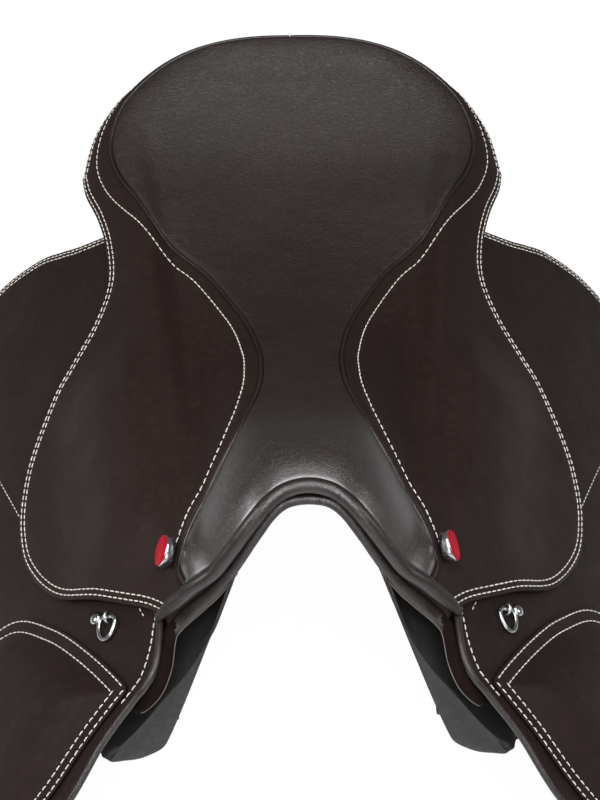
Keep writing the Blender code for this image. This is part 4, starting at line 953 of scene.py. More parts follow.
rollLook = {"radius": 0.00425, "welt": 0.0013, "bandFlat": 0.66, "edge": 0.00042}
towardFront = (0, -0.74, 0.67)
for name, side in sides:
    run = evenly(seamPath, 0.0022)
    run[:, 0] = np.maximum(run[:, 0], 0.0016)
    path = skin(run, 0.0012 + 0 * run[:, 0])
    welt = sweep("seamWelt_" + name, path, rollLook["welt"], 12, side, bumpy=0.05)
    place(welt, pipingLeather, "piping_leather", "saddle", ["welt_" + name])
rollX = np.linspace(-0.0836, 0.0836, 130)
rollEnd = 1 - 0.35 * ramp(np.abs(rollX), 0.074, 0.0836)
rollSink = 0.0022 - 0.0006 * ramp(np.abs(rollX), 0.07, 0.085)
upperRoll = skin(np.stack([rollX, rollY(rollX)], -1), rollSink)
piece = sweep("pommelRollLeather", upperRoll, rollLook["radius"] * rollEnd, 22, bumpy=0.006, up=(0, 1, 0))
place(piece, pipingLeather, "piping_leather", "saddle", ["pommel_roll"])

# the flatter band under it: over the arch, then down along the flap's front; middle line and half width
bandLine = np.array([
    (0, -0.208, 0.1372, 0.0029), (0.009, -0.2092, 0.1369, 0.0029), (0.0153, -0.2114, 0.135, 0.003),
    (0.021, -0.2145, 0.1305, 0.003), (0.0256, -0.2174, 0.125, 0.0031), (0.0313, -0.221, 0.1174, 0.0031),
    (0.0366, -0.2236, 0.1092, 0.0032), (0.0429, -0.2258, 0.0995, 0.0034), (0.049, -0.2274, 0.0913, 0.0038),
    (0.0537, -0.2282, 0.0857, 0.0041), (0.0588, -0.2288, 0.0803, 0.0043), (0.0639, -0.2292, 0.0746, 0.0044),
    (0.0683, -0.2297, 0.0697, 0.0043), (0.0728, -0.2312, 0.0652, 0.0042), (0.0763, -0.235, 0.0622, 0.004),
    (0.0777, -0.242, 0.0601, 0.0039), (0.079, -0.254, 0.057, 0.0039), (0.0828, -0.264, 0.0519, 0.0038),
    (0.0873, -0.268, 0.047, 0.0036), (0.093, -0.268, 0.04, 0.0032), (0.0975, -0.262, 0.033, 0.0026),
    (0.1, -0.254, 0.027, 0.0018),
])
band = smoothPath(np.vstack([bandLine[:0:-1] * [-1, 1, 1, 1], bandLine]), 0.0016)
bandFlat = rollLook["bandFlat"] - 0.28 * ramp(np.abs(band[:, 0]), 0.04, 0.076)
bandTurn = int(np.argmax(band[:, 0] > 0.0738))
piece = sweep("gulletRollLeather", band[:, :3], band[:, 3], 20, bumpy=0.006, squashed=bandFlat,
              up=towardFront)
place(piece, pipingLeather, "piping_leather", "saddle", ["gullet_roll"])
# the band's turned-down part gets the darker copy: painted shade
piece.data.materials.append(bandShadeLeather)  # below its turn the band is matt and darker
for face in piece.data.polygons:
    face.material_index = int(abs(face.center.x) > band[bandTurn - 1, 0])
# the facing behind the two rolls
facingX = np.linspace(-0.08, 0.08, 90)
upperAt = alongPath(facingX, upperRoll[:, 0], upperRoll)
arch = band[np.abs(band[:, 0]) < 0.0765]
lowerAt = alongPath(facingX, arch[:, 0], arch[:, :3])
behind = np.array(towardFront) * -0.002
middleAt = 0.5 * (upperAt + lowerAt)
rows = np.stack([upperAt + behind, middleAt + 1.3 * behind, lowerAt + behind], 1).reshape(-1, 3)
quads = [(i * 3 + k, i * 3 + k + 1, i * 3 + k + 4, i * 3 + k + 3) for i in range(89) for k in range(2)]
piece = meshPiece("pommelFacingLeather", rows, quads)
thick = piece.modifiers.new("thick", "SOLIDIFY")
thick.thickness = 0.0014
place(piece, skirtLeather, "skirt_leather", "saddle")
half = band[band[:, 0] > 0.0405]
ahead = unit(np.gradient(half[:, :3], axis=0))
low = unit(np.cross(ahead, np.array(towardFront)))
low = low * np.where(low[:, :1] * 0.35 + low[:, 2:] * 0.9 < 0, 1, -1)
edgeLine = half[:, :3] + low * (half[:, 3:] + 0.0001) - 0.0004 * np.array(towardFront)
edgeLine = edgeLine[:-12]
for name, side in sides:
    piece = sweep("gulletLiningEdge_" + name, edgeLine, rollLook["edge"], 8, side, up=towardFront)
    place(piece, cutEdgeLeather, "lining_leather", "saddle")
print("welts and rolls")

# flaps

flapFront = [(-0.268, 0.0482), (-0.281, 0.075), (-0.304, 0.11), (-0.318, 0.16), (-0.313, 0.215),
             (-0.292, 0.27), (-0.255, 0.32)]
flapBottom = [(-0.19, 0.362), (-0.11, 0.382), (-0.03, 0.383), (0.04, 0.362), (0.088, 0.315)]
flapRear = [(0.118, 0.255), (0.138, 0.19), (0.145, 0.135), (0.137, 0.09), (0.125, 0.065), (0.116, 0.0482)]
flapLook = {"rows": (0.0024, 0.005), "headRow": 0.0052, "edgeRound": 0.0011}
headFront = [(-0.221, 0.0105), (-0.227, 0.019), (-0.245, 0.026), (-0.259, 0.0345), (-0.266, 0.0435)]
headRear = np.array([(0.116, 0.0482), (0.1, 0.0105)])
flapRim = smoothPath([*headFront, *flapFront[1:], *flapBottom, *flapRear, *headRear[1:]], 0.0034)
flapTop = np.arange(0.0965, -0.223, -0.0034)
flapTop = np.stack([flapTop, 0 * flapTop + 0.0105], -1)
flapOutline = np.vstack([flapRim, flapTop])
slitMiddle = barForm["inner"] + barForm["width"] / 2
slit = np.array([(-0.0075, -0.0108), (0.0075, -0.0108), (0.0075, 0.0108), (-0.0075, 0.0108)])
slit = slit + [barForm["front"] + 0.006, slitMiddle]
flapLine = leftward(flapRim, flapOutline)
flap = cutHide(flapSkin, flapOutline, hide["flap"], 0.005, [
    {"line": flapLine, "round": flapLook["edgeRound"], "rows": flapLook["rows"]},
], holes=[slit])
flapPlain = (flapLine[:, 0] > -0.19) | (flapLine[:, 1] < 0.047)
flapHead = (flapLine[:, 0] < -0.2) & (flapLine[:, 1] < 0.056)


def flapRow(distance, picked):
    run = inward(flapSkin, flapLine, distance + 0 * flapLine[:, 0])
    return [seamRun(flapSkin, part) for part in pieces(run, picked)]


flapRows = [r for row in flapLook["rows"] for r in flapRow(row, flapPlain & ~flapHead)]
flapRows += flapRow(flapLook["headRow"], flapHead)
shortRow = smoothPath([(-0.208, 0.0365), (-0.215, 0.0345), (-0.2225, 0.0318)], 0.002)
diagonal = smoothPath([(-0.083, 0.128), (-0.039, 0.146), (0.005, 0.165)], 0.003)
flapRows += [seamRun(flapSkin, shortRow), seamRun(flapSkin, diagonal)]
# the piping on the flap's front edge: place down and along the flap, and height over it
pipingLine = np.array([
    (-0.2215, 0.0235, -0.001), (-0.2275, 0.0212, 0.0012), (-0.236, 0.0208, 0.0014), (-0.252, 0.0248, 0.0012),
    (-0.2618, 0.0305, 0.0008), (-0.2672, 0.0385, 0.0002), (-0.2698, 0.048, -0.0006),
    (-0.283, 0.0752, -0.0008),
    (-0.3058, 0.11, -0.001), (-0.3198, 0.16, -0.001), (-0.3148, 0.2155, -0.001), (-0.2936, 0.2712, -0.001),
    (-0.261, 0.3155, -0.0012),
])
piping = smoothPath(pipingLine, 0.0022)
pipingPath = flapPoint(piping[:, :2], piping[:, 2])
pipingRadius = 0.0019 * (1 - 0.6 * ramp(piping[:, 1], 0.26, 0.315))
for name, side in sides:
    fold = foldBlend(name, side, 0, foldStrip, "saddle", "flap")
    stands = ["flap_head_" + name, "flap_" + name]
    sewn("flap%s_" + name, flap, flapRows, flapLeather, "flap_leather", stands, side, fold=fold)
    piece = sweep("flapPiping_" + name, pipingPath, pipingRadius, 14, side, bumpy=0.03)
    place(piece, pipingLeather, "piping_leather", fold=fold)
print("flaps", len(flap["flat"]))

# knee rolls: a leather cover sewn to the flap round its edge, padded inside the seam

kneeFront = [(-0.264, 0.053), (-0.2775, 0.083), (-0.296, 0.12), (-0.306, 0.162), (-0.301, 0.213),
             (-0.28, 0.264), (-0.248, 0.305)]
kneeRear = [(-0.218, 0.312), (-0.188, 0.29), (-0.16, 0.24), (-0.153, 0.19), (-0.157, 0.14),
            (-0.185, 0.104), (-0.219, 0.076), (-0.257, 0.0515), (-0.264, 0.053)]
kneeLook = {"height": 0.012, "band": 0.0098, "softness": 0.013, "rows": (0.002, 0.0088), "hide": 0.0016,
            "pressure": 3.0, "cap": 0.0045}
kneeRim = smoothPath([*kneeFront, *kneeRear], 0.0028)[:-1]


def kneeSkin(p, depth=0.0):
    return flapPoint(p, kneeLook["hide"] + 0.0007 - depth)


def stuffing(near, band, softness, power):
    # how full a pad is at a distance from its seam: flat over the band, then rising
    return 1 - np.exp(-((np.maximum(near - band, 0) / softness) ** power))


def kneeCrown(flat, base, near):
    return kneeLook["height"] * stuffing(near, kneeLook["band"], kneeLook["softness"], 1.25)


kneeRing = ringOf(kneeRim)
knee = cutHide(kneeSkin, kneeRim, kneeLook["hide"], 0.0036, [
    {"line": kneeRing, "round": 0.0007, "rows": kneeLook["rows"], "steps": (0.0104, 0.012, 0.0145)},
], crown=kneeCrown)
knee = swellCover(knee, kneeSkin(kneeRing), kneeLook["band"] + 0.0012, kneeLook["pressure"], kneeLook["cap"])
kneeRows = [r for row in kneeLook["rows"] for r in cleanRow(kneeSkin, kneeRing, row)]
for name, side in sides:
    piece = sewn("kneeRoll%s_" + name, knee, kneeRows, flapLeather, "flap_leather", ["knee_roll_" + name],
                 side, body="flap_" + name)
print("knee rolls", len(knee["flat"]))

# head nails with their red caps, dees with staples and studs


def turned(name, base, axis, profile, steps=48):
    # a lathe-turned piece; its profile is radius and height along the axis
    axis = unit(np.array(axis, float))
    a = unit(np.cross(axis, [0.3, 0.9, 0.1]))
    b = np.cross(axis, a)
    profile = np.array(profile, float)
    angle = np.linspace(0, 2 * math.pi, steps, endpoint=False)
    ring = np.cos(angle)[None, :, None] * a + np.sin(angle)[None, :, None] * b
    points = base + profile[:, 0][:, None, None] * ring + profile[:, 1][:, None, None] * axis
    obj = meshPiece(name, points.reshape(-1, 3), tubeFaces(len(profile), steps))
    obj.data.set_sharp_from_angle(angle=math.radians(35))
    return obj


nailLook = {"spot": (0.0732, -0.202), "radius": 0.0092, "height": 0.006, "cap": 0.0087, "capHeight": 0.0012,
            "axis": (0.92, -0.05, 0.39), "proud": 0.0026}
nailPlan = np.array(nailLook["spot"])
nailBase = skin(nailPlan)
nailBase = nailBase + unit(skin(nailPlan, -0.01) - nailBase) * nailLook["proud"]
nailAxis = unit(np.array(nailLook["axis"]))
deeLook = {"stud": (-0.2015, 0.068), "ring": (-0.2088, 0.0562), "turn": 30, "half": 0.00725, "reach": 0.013,
           "rise": 0.0034, "wire": 0.0013, "staple": 0.001}


def onFlap(plan):
    # a place on the flap and the way straight out from it
    base = flapPoint(np.array(plan))
    return base, unit(flapPoint(np.array(plan), 0.01) - base)


studBase, studAxis = onFlap(deeLook["stud"])
ringBase, ringUp = onFlap(deeLook["ring"])
ringLine = unit(flapPoint(np.array(deeLook["ring"]) + [0.01, 0]) - ringBase)
ringDown = unit(np.cross(ringLine, ringUp))
ringTurn = math.radians(deeLook["turn"])
ringLine, ringDown = (ringLine * math.cos(ringTurn) - ringDown * math.sin(ringTurn),
                      ringDown * math.cos(ringTurn) + ringLine * math.sin(ringTurn))
r, h, c, t = (nailLook[key] for key in ("radius", "height", "cap", "capHeight"))
nailBody = [(r * 0.8, 0), (r * 0.98, h * 0.3), (r, h * 0.42), (r, h - 0.0012), (r * 0.985, h - 0.0005),
            (r * 0.95, h - 0.0001), (r * 0.93, h), (r * 0.925, h - 0.0004), (r * 0.3, h - 0.0004)]
nailCap = [(c * 0.99, -0.0004), (c, 0.0002), (c * 0.985, t * 0.3), (c * 0.93, t * 0.52), (c * 0.8, t * 0.72),
           (c * 0.55, t * 0.9), (c * 0.25, t * 0.98), (c * 0.05, t)]
studDome = [(0.0042, 0), (0.0042, 0.001), (0.0039, 0.0018), (0.0032, 0.0025), (0.0021, 0.0031),
            (0.001, 0.0034), (0.0002, 0.0035)]
staple = smoothPath([ringBase + ringLine * a + ringUp * b for a, b in (
    (0.0027, 0.001), (0.0027, 0.0036), (0.0018, 0.0054), (0.0, 0.0061), (-0.0018, 0.0054), (-0.0027, 0.0036),
    (-0.0027, 0.001))], 0.0006)
# the ring: a straight bar through the staple, and a bow in front of it
half, rise = deeLook["half"], deeLook["rise"]
ring = [ringBase + ringDown * (half * t) + ringUp * rise for t in np.linspace(-0.86, 0.86, 7)]
for a in np.linspace(0, math.pi, 25)[1:-1]:
    reach = math.sin(a) ** 0.8
    ring.append(ringBase + ringDown * (half * math.cos(a)) - ringLine * (deeLook["reach"] * reach)
                + ringUp * (rise - 0.0015 * reach))
ring = np.array(ring)
ring = 0.5 * ring + 0.25 * (np.roll(ring, 1, 0) + np.roll(ring, -1, 0))
for name, side in sides:
    flip = np.array([side, 1, 1])
    capBase = nailBase + nailAxis * (h + 0.0003)
    piece = turned("headNail_" + name, nailBase * flip, nailAxis * flip, nailBody, 48)
    place(piece, brightMetal, "bright_metal", "saddle", ["head_nail_" + name])
    piece = turned("headNailCap_" + name, capBase * flip, nailAxis * flip, nailCap, 48)
    place(piece, redEnamel, "red_enamel", "saddle", ["head_nail_cap_" + name])
    piece = turned("deeStud_" + name, (studBase + studAxis * 0.0004) * flip, studAxis * flip, studDome, 32)
    place(piece, brightMetal, "bright_metal", "flap_" + name, ["dee_stud_" + name])
    piece = sweep("deeStaple_" + name, staple, deeLook["staple"], 12, side, up=ringDown)
    place(piece, brightMetal, "bright_metal", "flap_" + name, ["dee_staple_" + name])
    piece = sweep("deeRing_" + name, ring, deeLook["wire"], 12, side, closed=True, up=ringUp)
    place(piece, brightMetal, "bright_metal", "dee_ring_" + name, ["dee_ring_" + name])
print("nails and dees")

# sweat flaps, with a knee block and a thigh block on each

sweatRim = smoothPath([
    (-0.208, 0.014), (-0.233, 0.048), (-0.248, 0.095), (-0.25, 0.15), (-0.238, 0.205), (-0.208, 0.255),
    (-0.16, 0.29), (-0.09, 0.308), (-0.02, 0.306), (0.04, 0.285), (0.074, 0.245), (0.09, 0.2),
    (0.1, 0.15), (0.102, 0.1), (0.098, 0.05), (0.09, 0.014),
], 0.005)
sweatTop = evenly(np.array([(0.09, 0.014), (-0.208, 0.014)]), 0.006)
sweatOutline = np.vstack([sweatRim, sweatTop[1:-1]])
sweatLook = {"row": 0.0032, "edgeRound": 0.001}


def roundedShape(corners, soft=3, spacing=0.003):
    p = np.array(corners, float)
    for _ in range(soft):
        after = np.roll(p, -1, 0)
        p = np.stack([0.78 * p + 0.22 * after, 0.22 * p + 0.78 * after], 1).reshape(-1, 2)
    return evenly(np.vstack([p, p[:1]]), spacing)[:-1]


sweatRing = ringOf(sweatOutline)
sweat = cutHide(sweatSkin, sweatOutline, hide["sweat"], 0.007, [
    {"line": sweatRing, "round": sweatLook["edgeRound"], "rows": (sweatLook["row"],)},
])
sweatRows = [rowInside(sweatSkin, sweatRing, sweatLook["row"])]
for name, side in sides:
    sewn("sweatFlap%s_" + name, sweat, sweatRows, liningLeather, "lining_leather", ["sweat_flap_" + name],
         side, body="saddle")
print("sweat flaps", len(sweat["flat"]))

padLook = {"hide": 0.0014, "row": 0.0024, "band": 0.004, "softness": 0.006, "pressure": 3.0, "cap": 0.003}
padShapes = {
    "knee_block": ([(-0.23, 0.085), (-0.19, 0.245), (-0.152, 0.245), (-0.19, 0.085)], 0.0125),
    "thigh_block": ([(0.06, 0.12), (0.05, 0.225), (0.074, 0.225), (0.086, 0.12)], 0.0105),
}
padSkin = overSweat(padLook["hide"] + 0.0006)
for kind, (corners, height) in padShapes.items():
    rim = roundedShape(corners)
    ring = ringOf(rim)
    pad = cutHide(padSkin, rim, padLook["hide"], 0.004, [
        {"line": ring, "round": 0.0006, "rows": (padLook["row"],), "steps": (0.0048, 0.0065, 0.009)},
    ], crown=lambda flat, base, near: (
        0.85 * height * stuffing(near, padLook["band"], padLook["softness"], 1.2)))
    pad = swellCover(pad, padSkin(ring), padLook["band"] + 0.0008, padLook["pressure"], padLook["cap"])
    rows = [rowInside(padSkin, ring, padLook["row"])]
    label = {"knee_block": "kneeBlock", "thigh_block": "thighBlock"}[kind]
    for name, side in sides:
        piece = sewn(label + "%s_" + name, pad, rows, flapLeather, "flap_leather", [kind + "_" + name], side,
                     "Cover", body="saddle")
print("blocks")

# panels: stuffed cushions, swollen between their seams, with a welt along each lower seam

panelLook = {"levels": 2, "start": 0.0022, "pressure": 4.0, "cap": 0.006, "welt": 0.0017}
panelSeams = {
    "y": [-0.223, -0.205, -0.16, -0.11, -0.06, 0.0, 0.05, 0.1, 0.15, 0.192, 0.211],
    "inner": [(0.074, -0.03), (0.07, -0.034), (0.064, -0.036), (0.056, -0.028), (0.046, -0.008),
              (0.037, 0.006), (0.034, 0.006), (0.035, 0.006), (0.038, 0.008), (0.042, 0.02), (0.047, 0.036)],
    "outer": [(0.13, -0.05), (0.142, -0.06), (0.156, -0.066), (0.156, -0.056), (0.142, -0.034),
              (0.118, -0.012), (0.114, -0.004), (0.116, 0.0), (0.114, 0.006), (0.104, 0.022), (0.09, 0.04)],
}


def evenMesh(nodeName, levels):
    # an even copy of a CAD solid's surface, as points and faces
    obj = bpy.data.objects.new("even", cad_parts[nodeName].data.copy())
    bpy.context.scene.collection.objects.link(obj)
    weld = obj.modifiers.new("weld", "WELD")
    weld.merge_threshold = 0.00002
    finer = obj.modifiers.new("finer", "SUBSURF")
    finer.levels = finer.render_levels = levels
    calm = obj.modifiers.new("calm", "SMOOTH")
    calm.factor = 0.5
    calm.iterations = 4
    made = obj.evaluated_get(bpy.context.evaluated_depsgraph_get()).data
    points = np.empty(len(made.vertices) * 3, np.float32)
    made.vertices.foreach_get("co", points)
    normals = np.array([v.normal[:] for v in made.vertices])
    faces = [tuple(p.vertices) for p in made.polygons]
    bpy.data.objects.remove(obj)
    return points.reshape(-1, 3).astype(float), normals, faces


def onto(points, faces, line):
    # the places on a mesh nearest to a line
    surface = BVHTree.FromPolygons([Vector(p) for p in points], faces)
    return np.array([surface.find_nearest(Vector(p))[0][:] for p in line])


panelPoints, panelNormals, panelFaces = evenMesh("panel_left", panelLook["levels"])
seamRuns = []
for key in ("inner", "outer"):
    line = smoothPath([(x, y, z) for y, (x, z) in zip(panelSeams["y"], panelSeams[key])], 0.004)
    seamRuns.append(onto(panelPoints, panelFaces, line))
onSeam = np.minimum(*(distanceTo(run, panelPoints) for run in seamRuns)) < 0.0045
held = onSeam | (panelNormals[:, 2] > 0.45)
# the front ends flare along the arch: the inner face stays outside x = a + b * y + c * z
archFlare = {"planes": ((0.0022, -0.2853, -0.2868), (-0.0276, -0.5314, -0.5158)), "soft": 0.002,
             "along": (-0.17, -0.08), "fade": (0.016, 0.03)}


def flared(p):
    wall = np.min([a + b * p[:, 1] + c * p[:, 2] for a, b, c in archFlare["planes"]], axis=0)
    short, soft = wall - p[:, 0], archFlare["soft"]
    push = soft * np.logaddexp(0, short / soft) * (1 - ramp(short, *archFlare["fade"]))
    push = push * (1 - ramp(p[:, 1], *archFlare["along"]))
    return p + np.stack([push, 0 * push, 0 * push], -1)


panelPoints = flared(panelPoints)
panelStart = panelPoints - panelNormals * panelLook["start"] * ~held[:, None]
panelForm = inflate(panelStart, panelFaces, np.flatnonzero(held), panelLook["pressure"], panelLook["cap"])
panelForm = flared(panelForm)
weltRuns = [onto(panelForm, panelFaces, run) for run in seamRuns]
for name, side in sides:
    piece = meshPiece("panelLeather_" + name, panelForm, panelFaces, side=side)
    place(piece, liningLeather, "lining_leather", "saddle", ["panel_" + name])
    fine = piece.modifiers.new("fine", "SUBSURF")
    fine.levels = fine.render_levels = 1
    for key, on in zip(("Inner", "Outer"), weltRuns):
        before, after = np.vstack([on[:1], on[:-1]]), np.vstack([on[1:], on[-1:]])
        on = evenly(0.25 * before + 0.5 * on + 0.25 * after, 0.003)
        piece = sweep("panelWelt" + key + "_" + name, on, panelLook["welt"], 10, side, bumpy=0.03)
        place(piece, pipingLeather, "piping_leather", "saddle")
print("panels", len(panelForm))

# billets with their holes, and the guards over the buckles

strap = {"width": 0.025, "thickness": 0.0035, "top": 0.054, "length": 0.285, "lift": 0.0115, "row": 0.0028,
         "centres": (-0.055, -0.016, 0.023), "holes": 6, "holePitch": 0.0254, "holeRadius": 0.0022,
         "firstHole": 0.036}
strapSkin = overSweat(strap["lift"])
tipY = np.array([0.0, 0.0035, 0.007, 0.0095, 0.0112, 0.0125])
tipS = np.array([0.0, 0.0007, 0.0032, 0.0068, 0.011, 0.016])
for number, middle in enumerate(strap["centres"], 1):
    end = strap["top"] + strap["length"]
    down = np.arange(strap["top"], end - 0.018, 0.0036)
    half = strap["width"] / 2
    tip = np.stack([middle + tipY, end - tipS], -1)[::-1]
    right = np.vstack([np.stack([middle + half + 0 * down, down], -1), tip])
    left = (right * [-1, 1] + [2 * middle, 0])[::-1][1:]
    across = np.stack([np.linspace(middle - half, middle + half, 8)[1:-1], np.full(6, strap["top"])], -1)
    rim = np.vstack([right, left, across])
    ring = ringOf(rim)
    angle = np.linspace(0, 2 * math.pi, 12, endpoint=False)
    hole = np.stack([np.cos(angle), np.sin(angle)], -1) * strap["holeRadius"]
    holes = [hole + [middle, end - strap["firstHole"] - k * strap["holePitch"]]
             for k in range(strap["holes"])]
    billet = cutHide(strapSkin, rim, strap["thickness"], 0.0042, [
        {"line": ring, "round": 0.0009, "rows": (strap["row"],)}], holes=holes)
    rows = [rowInside(strapSkin, ring, strap["row"])]
    for name, side in sides:
        body = "billet_%d_%s" % (number, name)
        sewn("billet%%s%d_%s" % (number, name), billet, rows, strapLeather, "strap_leather", [body], side,
             body=body)
print("billets")

guardLook = {"lift": 0.0165, "hide": 0.0024, "row": 0.0032, "keeper": (0.1, 0.124), "keeperHide": 0.0018}
guardSkin = overSweat(guardLook["lift"])
rim = roundedShape([(-0.074, 0.086), (0.042, 0.086), (0.042, 0.138), (-0.074, 0.138)], 3, 0.003)
ring = ringOf(rim)
guard = cutHide(guardSkin, rim, guardLook["hide"], 0.005, [
    {"line": ring, "round": 0.0009, "rows": (guardLook["row"],)}])
guardRows = [rowInside(guardSkin, ring, guardLook["row"])]
# the keeper: a loop of the same leather behind the middle billet
loop = smoothPath([
    (-0.032, 0.0138), (-0.0318, 0.009), (-0.0306, 0.0048), (-0.027, 0.0038), (-0.016, 0.0036),
    (-0.005, 0.0038),
    (-0.0014, 0.0048), (-0.0002, 0.009), (0.0000, 0.0138),
], 0.0012)
loopRun = lengths(loop)
loopWay = unit(np.gradient(loop, axis=0))


def loopSkin(p, depth=0.0):
    y, lift, wy, wl = (np.interp(p[..., 0], loopRun, v) for v in (*loop.T, *loopWay.T))
    place = np.stack([y + depth * -wl, p[..., 1]], -1)
    return flapPoint(place, lift + depth * wy, sweatArc, flapForm["sweatInset"])


def oblong(across, low, high, count):
    # a strip's outline: its long edges at low and high, and count points on each end
    return np.vstack([
        np.stack([across, np.full(len(across), low)], -1),
        np.stack([np.full(count, across[-1]), np.linspace(low, high, count + 2)[1:-1]], -1),
        np.stack([across[::-1], np.full(len(across), high)], -1),
        np.stack([np.full(count, across[0]), np.linspace(high, low, count + 2)[1:-1]], -1),
    ])


rim = oblong(np.arange(0.0006, loopRun[-1], 0.0016), *guardLook["keeper"], 7)
keeper = cutHide(loopSkin, rim, guardLook["keeperHide"], 0.003, [{"line": ringOf(rim), "round": 0.0005}])
for name, side in sides:
    body = "girth_guard_" + name
    piece = sewHide("girthGuardLeather_" + name, guard, side)
    place(piece, strapLeather, "strap_leather", body, [body])
    piece = sewHide("girthGuardKeeper_" + name, keeper, side)
    place(piece, strapLeather, "strap_leather", body)
    piece = stitchMesh("girthGuardStitches_" + name, guardRows, side)
    place(piece, linenThread, "strap_leather", body)
print("girth guards")

# facing under the cantle's edge

facingLook = {"hide": 0.0018, "row": 0.0032, "reach": 0.93, "upper": 0.8, "lower": 0.55}
facingPlace = np.linspace(-1, 1, 81)
turnAt = np.abs(facingPlace) * facingLook["reach"]
facingSign = np.where(facingPlace < 0, -1, 1)[:, None] * [1, 0] + [0, 1]
outerAt, innerAt = (alongPath((1 - turnAt) * 200, np.arange(201), smoothPath(line, count=201))
                    for line in (cantleEdge, seamCantle))
upper, lower = (innerAt + (outerAt - innerAt) * facingLook[key] for key in ("upper", "lower"))
facingTop = skin(upper, hide["skirt"] + 0.0012 + 0 * turnAt)
facingLow = np.column_stack([lower, facingTop[:, 2] * 0.4 + 0.052])
facingTop[:, :2] *= facingSign
facingLow[:, :2] *= facingSign
facingMiddle = (facingTop + facingLow) / 2
facingRun = lengths(facingMiddle)
facingHeight = np.linalg.norm(facingTop - facingLow, axis=1).mean()


def facingSkin(p, depth=0.0):
    top, low, ahead = (alongPath(p[..., 0], facingRun, line)
                       for line in (facingTop, facingLow, np.gradient(facingMiddle, axis=0)))
    share = (p[..., 1] / facingHeight)[..., None]
    return top + (low - top) * share + unit(np.cross(ahead, top - low)) * np.asarray(depth)[..., None]


rim = oblong(np.linspace(0, facingRun[-1], 130), 0, facingHeight, 5)
ring = ringOf(rim)
facing = cutHide(facingSkin, rim, facingLook["hide"], 0.005, [
    {"line": ring, "round": 0.0007, "rows": (facingLook["row"],)}])
facingRows = [rowInside(facingSkin, ring, facingLook["row"])]
sewn("cantleFacing%s", facing, facingRows, skirtLeather, "skirt_leather", ["cantle_facing"], body="saddle")
print("cantle facing")

# the CAD solids that show as they are

steelNodes = {"head_plate": treeSteel, "gullet_plate": treeSteel}
clothNodes = {"tree_frame": laminate, "seat_foam": foam, "seat_canvas": canvas}
for name, side in sides:
    steelNodes["spring_steel_" + name] = treeSteel
    steelNodes.update({kind + "_" + name: barSteel for kind in ("stirrup_bar", "stirrup_catch", "catch_pin")})
    clothNodes.update({kind + "_" + name: webbing for kind in ("straining_web", "girth_web")})
for nodeName, material in {**steelNodes, **clothNodes}.items():
    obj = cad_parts[nodeName]
    obj.data.materials.clear()
    obj.data.materials.append(material)
    weld = obj.modifiers.new("weld", "WELD")
    weld.merge_threshold = 0.00002
    if nodeName in steelNodes:
        soften = obj.modifiers.new("soften", "BEVEL")
        soften.width = 0.0004
        soften.segments = 2
        soften.limit_method = "ANGLE"
        soften.angle_limit = math.radians(32)
        obj.modifiers.new("even", "WEIGHTED_NORMAL")
print("steel and webs finished")

# floor, light and camera

paper = {"reach": 14, "colour": 0.93, "share": 0.88, "white": 1.1}


def addObject(name, data):
    obj = bpy.data.objects.new(name, data)
    bpy.context.scene.collection.objects.link(obj)
    return obj


def mixShaders(tree, share, first, second, output):
    mix = node(tree, "ShaderNodeMixShader", {0: share, 1: first.outputs[0], 2: second.outputs[0]})
    tree.links.new(mix.outputs[0], tree.nodes[output].inputs["Surface"])


floorMesh = bpy.data.meshes.new("floor")
floorZ, reach = cadBox[0][2] - 0.0005, paper["reach"]
corners = [(x * reach, y * reach, floorZ) for x, y in ((-1, -1), (1, -1), (1, 1), (-1, 1))]
floorMesh.from_pydata(corners, [], [(0, 1, 2, 3)])
material, tree, shader = newMaterial("studio floor")
setInputs(shader, Base_Color=(*[paper["colour"]] * 3, 1), Roughness=0.8, Specular_IOR_Level=0.2)
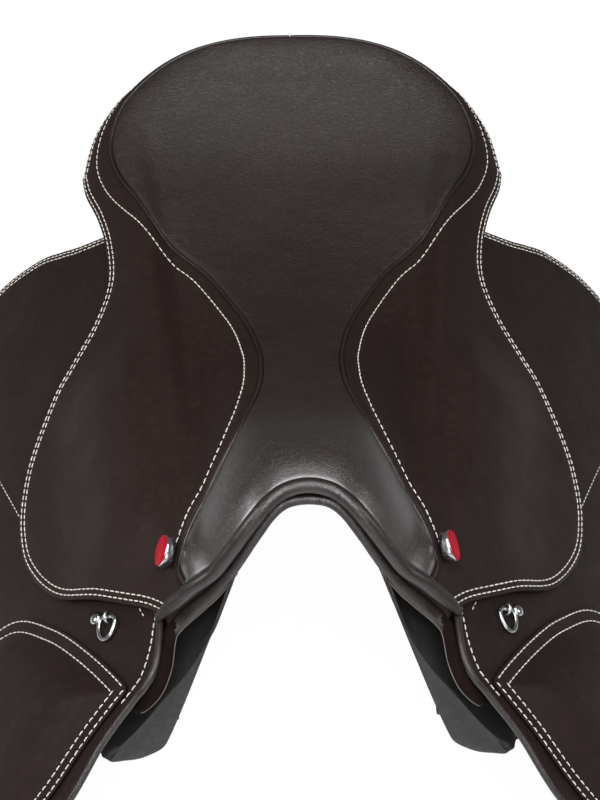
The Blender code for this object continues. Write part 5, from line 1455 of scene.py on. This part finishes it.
# the camera sees the floor a little whiter than it is lit, and its shadow stays
white = node(tree, "ShaderNodeEmission", {"Color": (1, 1, 1, 1), "Strength": paper["white"]})
seen = node(tree, "ShaderNodeLightPath")
share = maths(tree, "MULTIPLY", seen.outputs["Is Camera Ray"], paper["share"])
mixShaders(tree, share, shader, white, "Material Output")
floorMesh.materials.append(material)
addObject("floor", floorMesh)

studio = {"world": 0.14, "lamps": (
    ("over", (0.0, -0.5, 1.4), (0.0, -0.12, 0.0), (0.9, 1.0), 15.0),
    ("pommel", (0.0, -1.00, 1.05), (0.0, -0.2, 0.1), (0.6, 0.3), 7.5),
    ("left", (-1.1, -0.45, 0.82), (0.0, -0.15, 0.1), (0.5, 0.5), 9.0),
    ("right", (1.1, -0.45, 0.82), (0.0, -0.15, 0.1), (0.5, 0.5), 5.0),
    ("front", (0.05, -1.7, 0.5), (0.0, -0.1, 0.08), (0.9, 0.9), 6.0),
)}
world = bpy.data.worlds.new("studio")
bpy.context.scene.world = world
world.use_nodes = True
tree = world.node_tree
light = tree.nodes["Background"]
setInputs(light, Color=(1, 1, 1, 1), Strength=studio["world"])
seen = node(tree, "ShaderNodeBackground", {"Color": (1, 1, 1, 1), "Strength": 1.0})
path = node(tree, "ShaderNodeLightPath")
mixShaders(tree, path.outputs["Is Camera Ray"], light, seen, "World Output")
for name, at, aim, size, power in studio["lamps"]:
    lamp = bpy.data.lights.new(name, "AREA")
    lamp.energy = power
    lamp.shape = "RECTANGLE"
    lamp.size, lamp.size_y = size
    obj = addObject(name, lamp)
    obj.location = at
    obj.rotation_euler = (Vector(aim) - Vector(at)).to_track_quat("-Z", "Y").to_euler()

view = {
    "at": (-0.02296770768, -0.92012679781, 0.84985221244),
    "right": (0.99965732, -0.02617695, 0.0),
    "up": (0.0175158, 0.66890131, 0.74314483),
    "back": (-0.01945326, -0.74289017, 0.66913061),
    "focal": 1886.7924528 / 800,
}
camera = bpy.data.cameras.new("camera")
camera.sensor_width = 36
camera.lens = view["focal"] * 36
camera.clip_start = 0.05
camera.clip_end = 30
cameraObject = addObject("camera", camera)
turn = Matrix([view["right"], view["up"], view["back"]]).transposed().to_4x4()
cameraObject.matrix_world = Matrix.Translation(view["at"]) @ turn
bpy.context.scene.camera = cameraObject
bpy.context.scene.view_settings.view_transform = "Standard"

print("done")
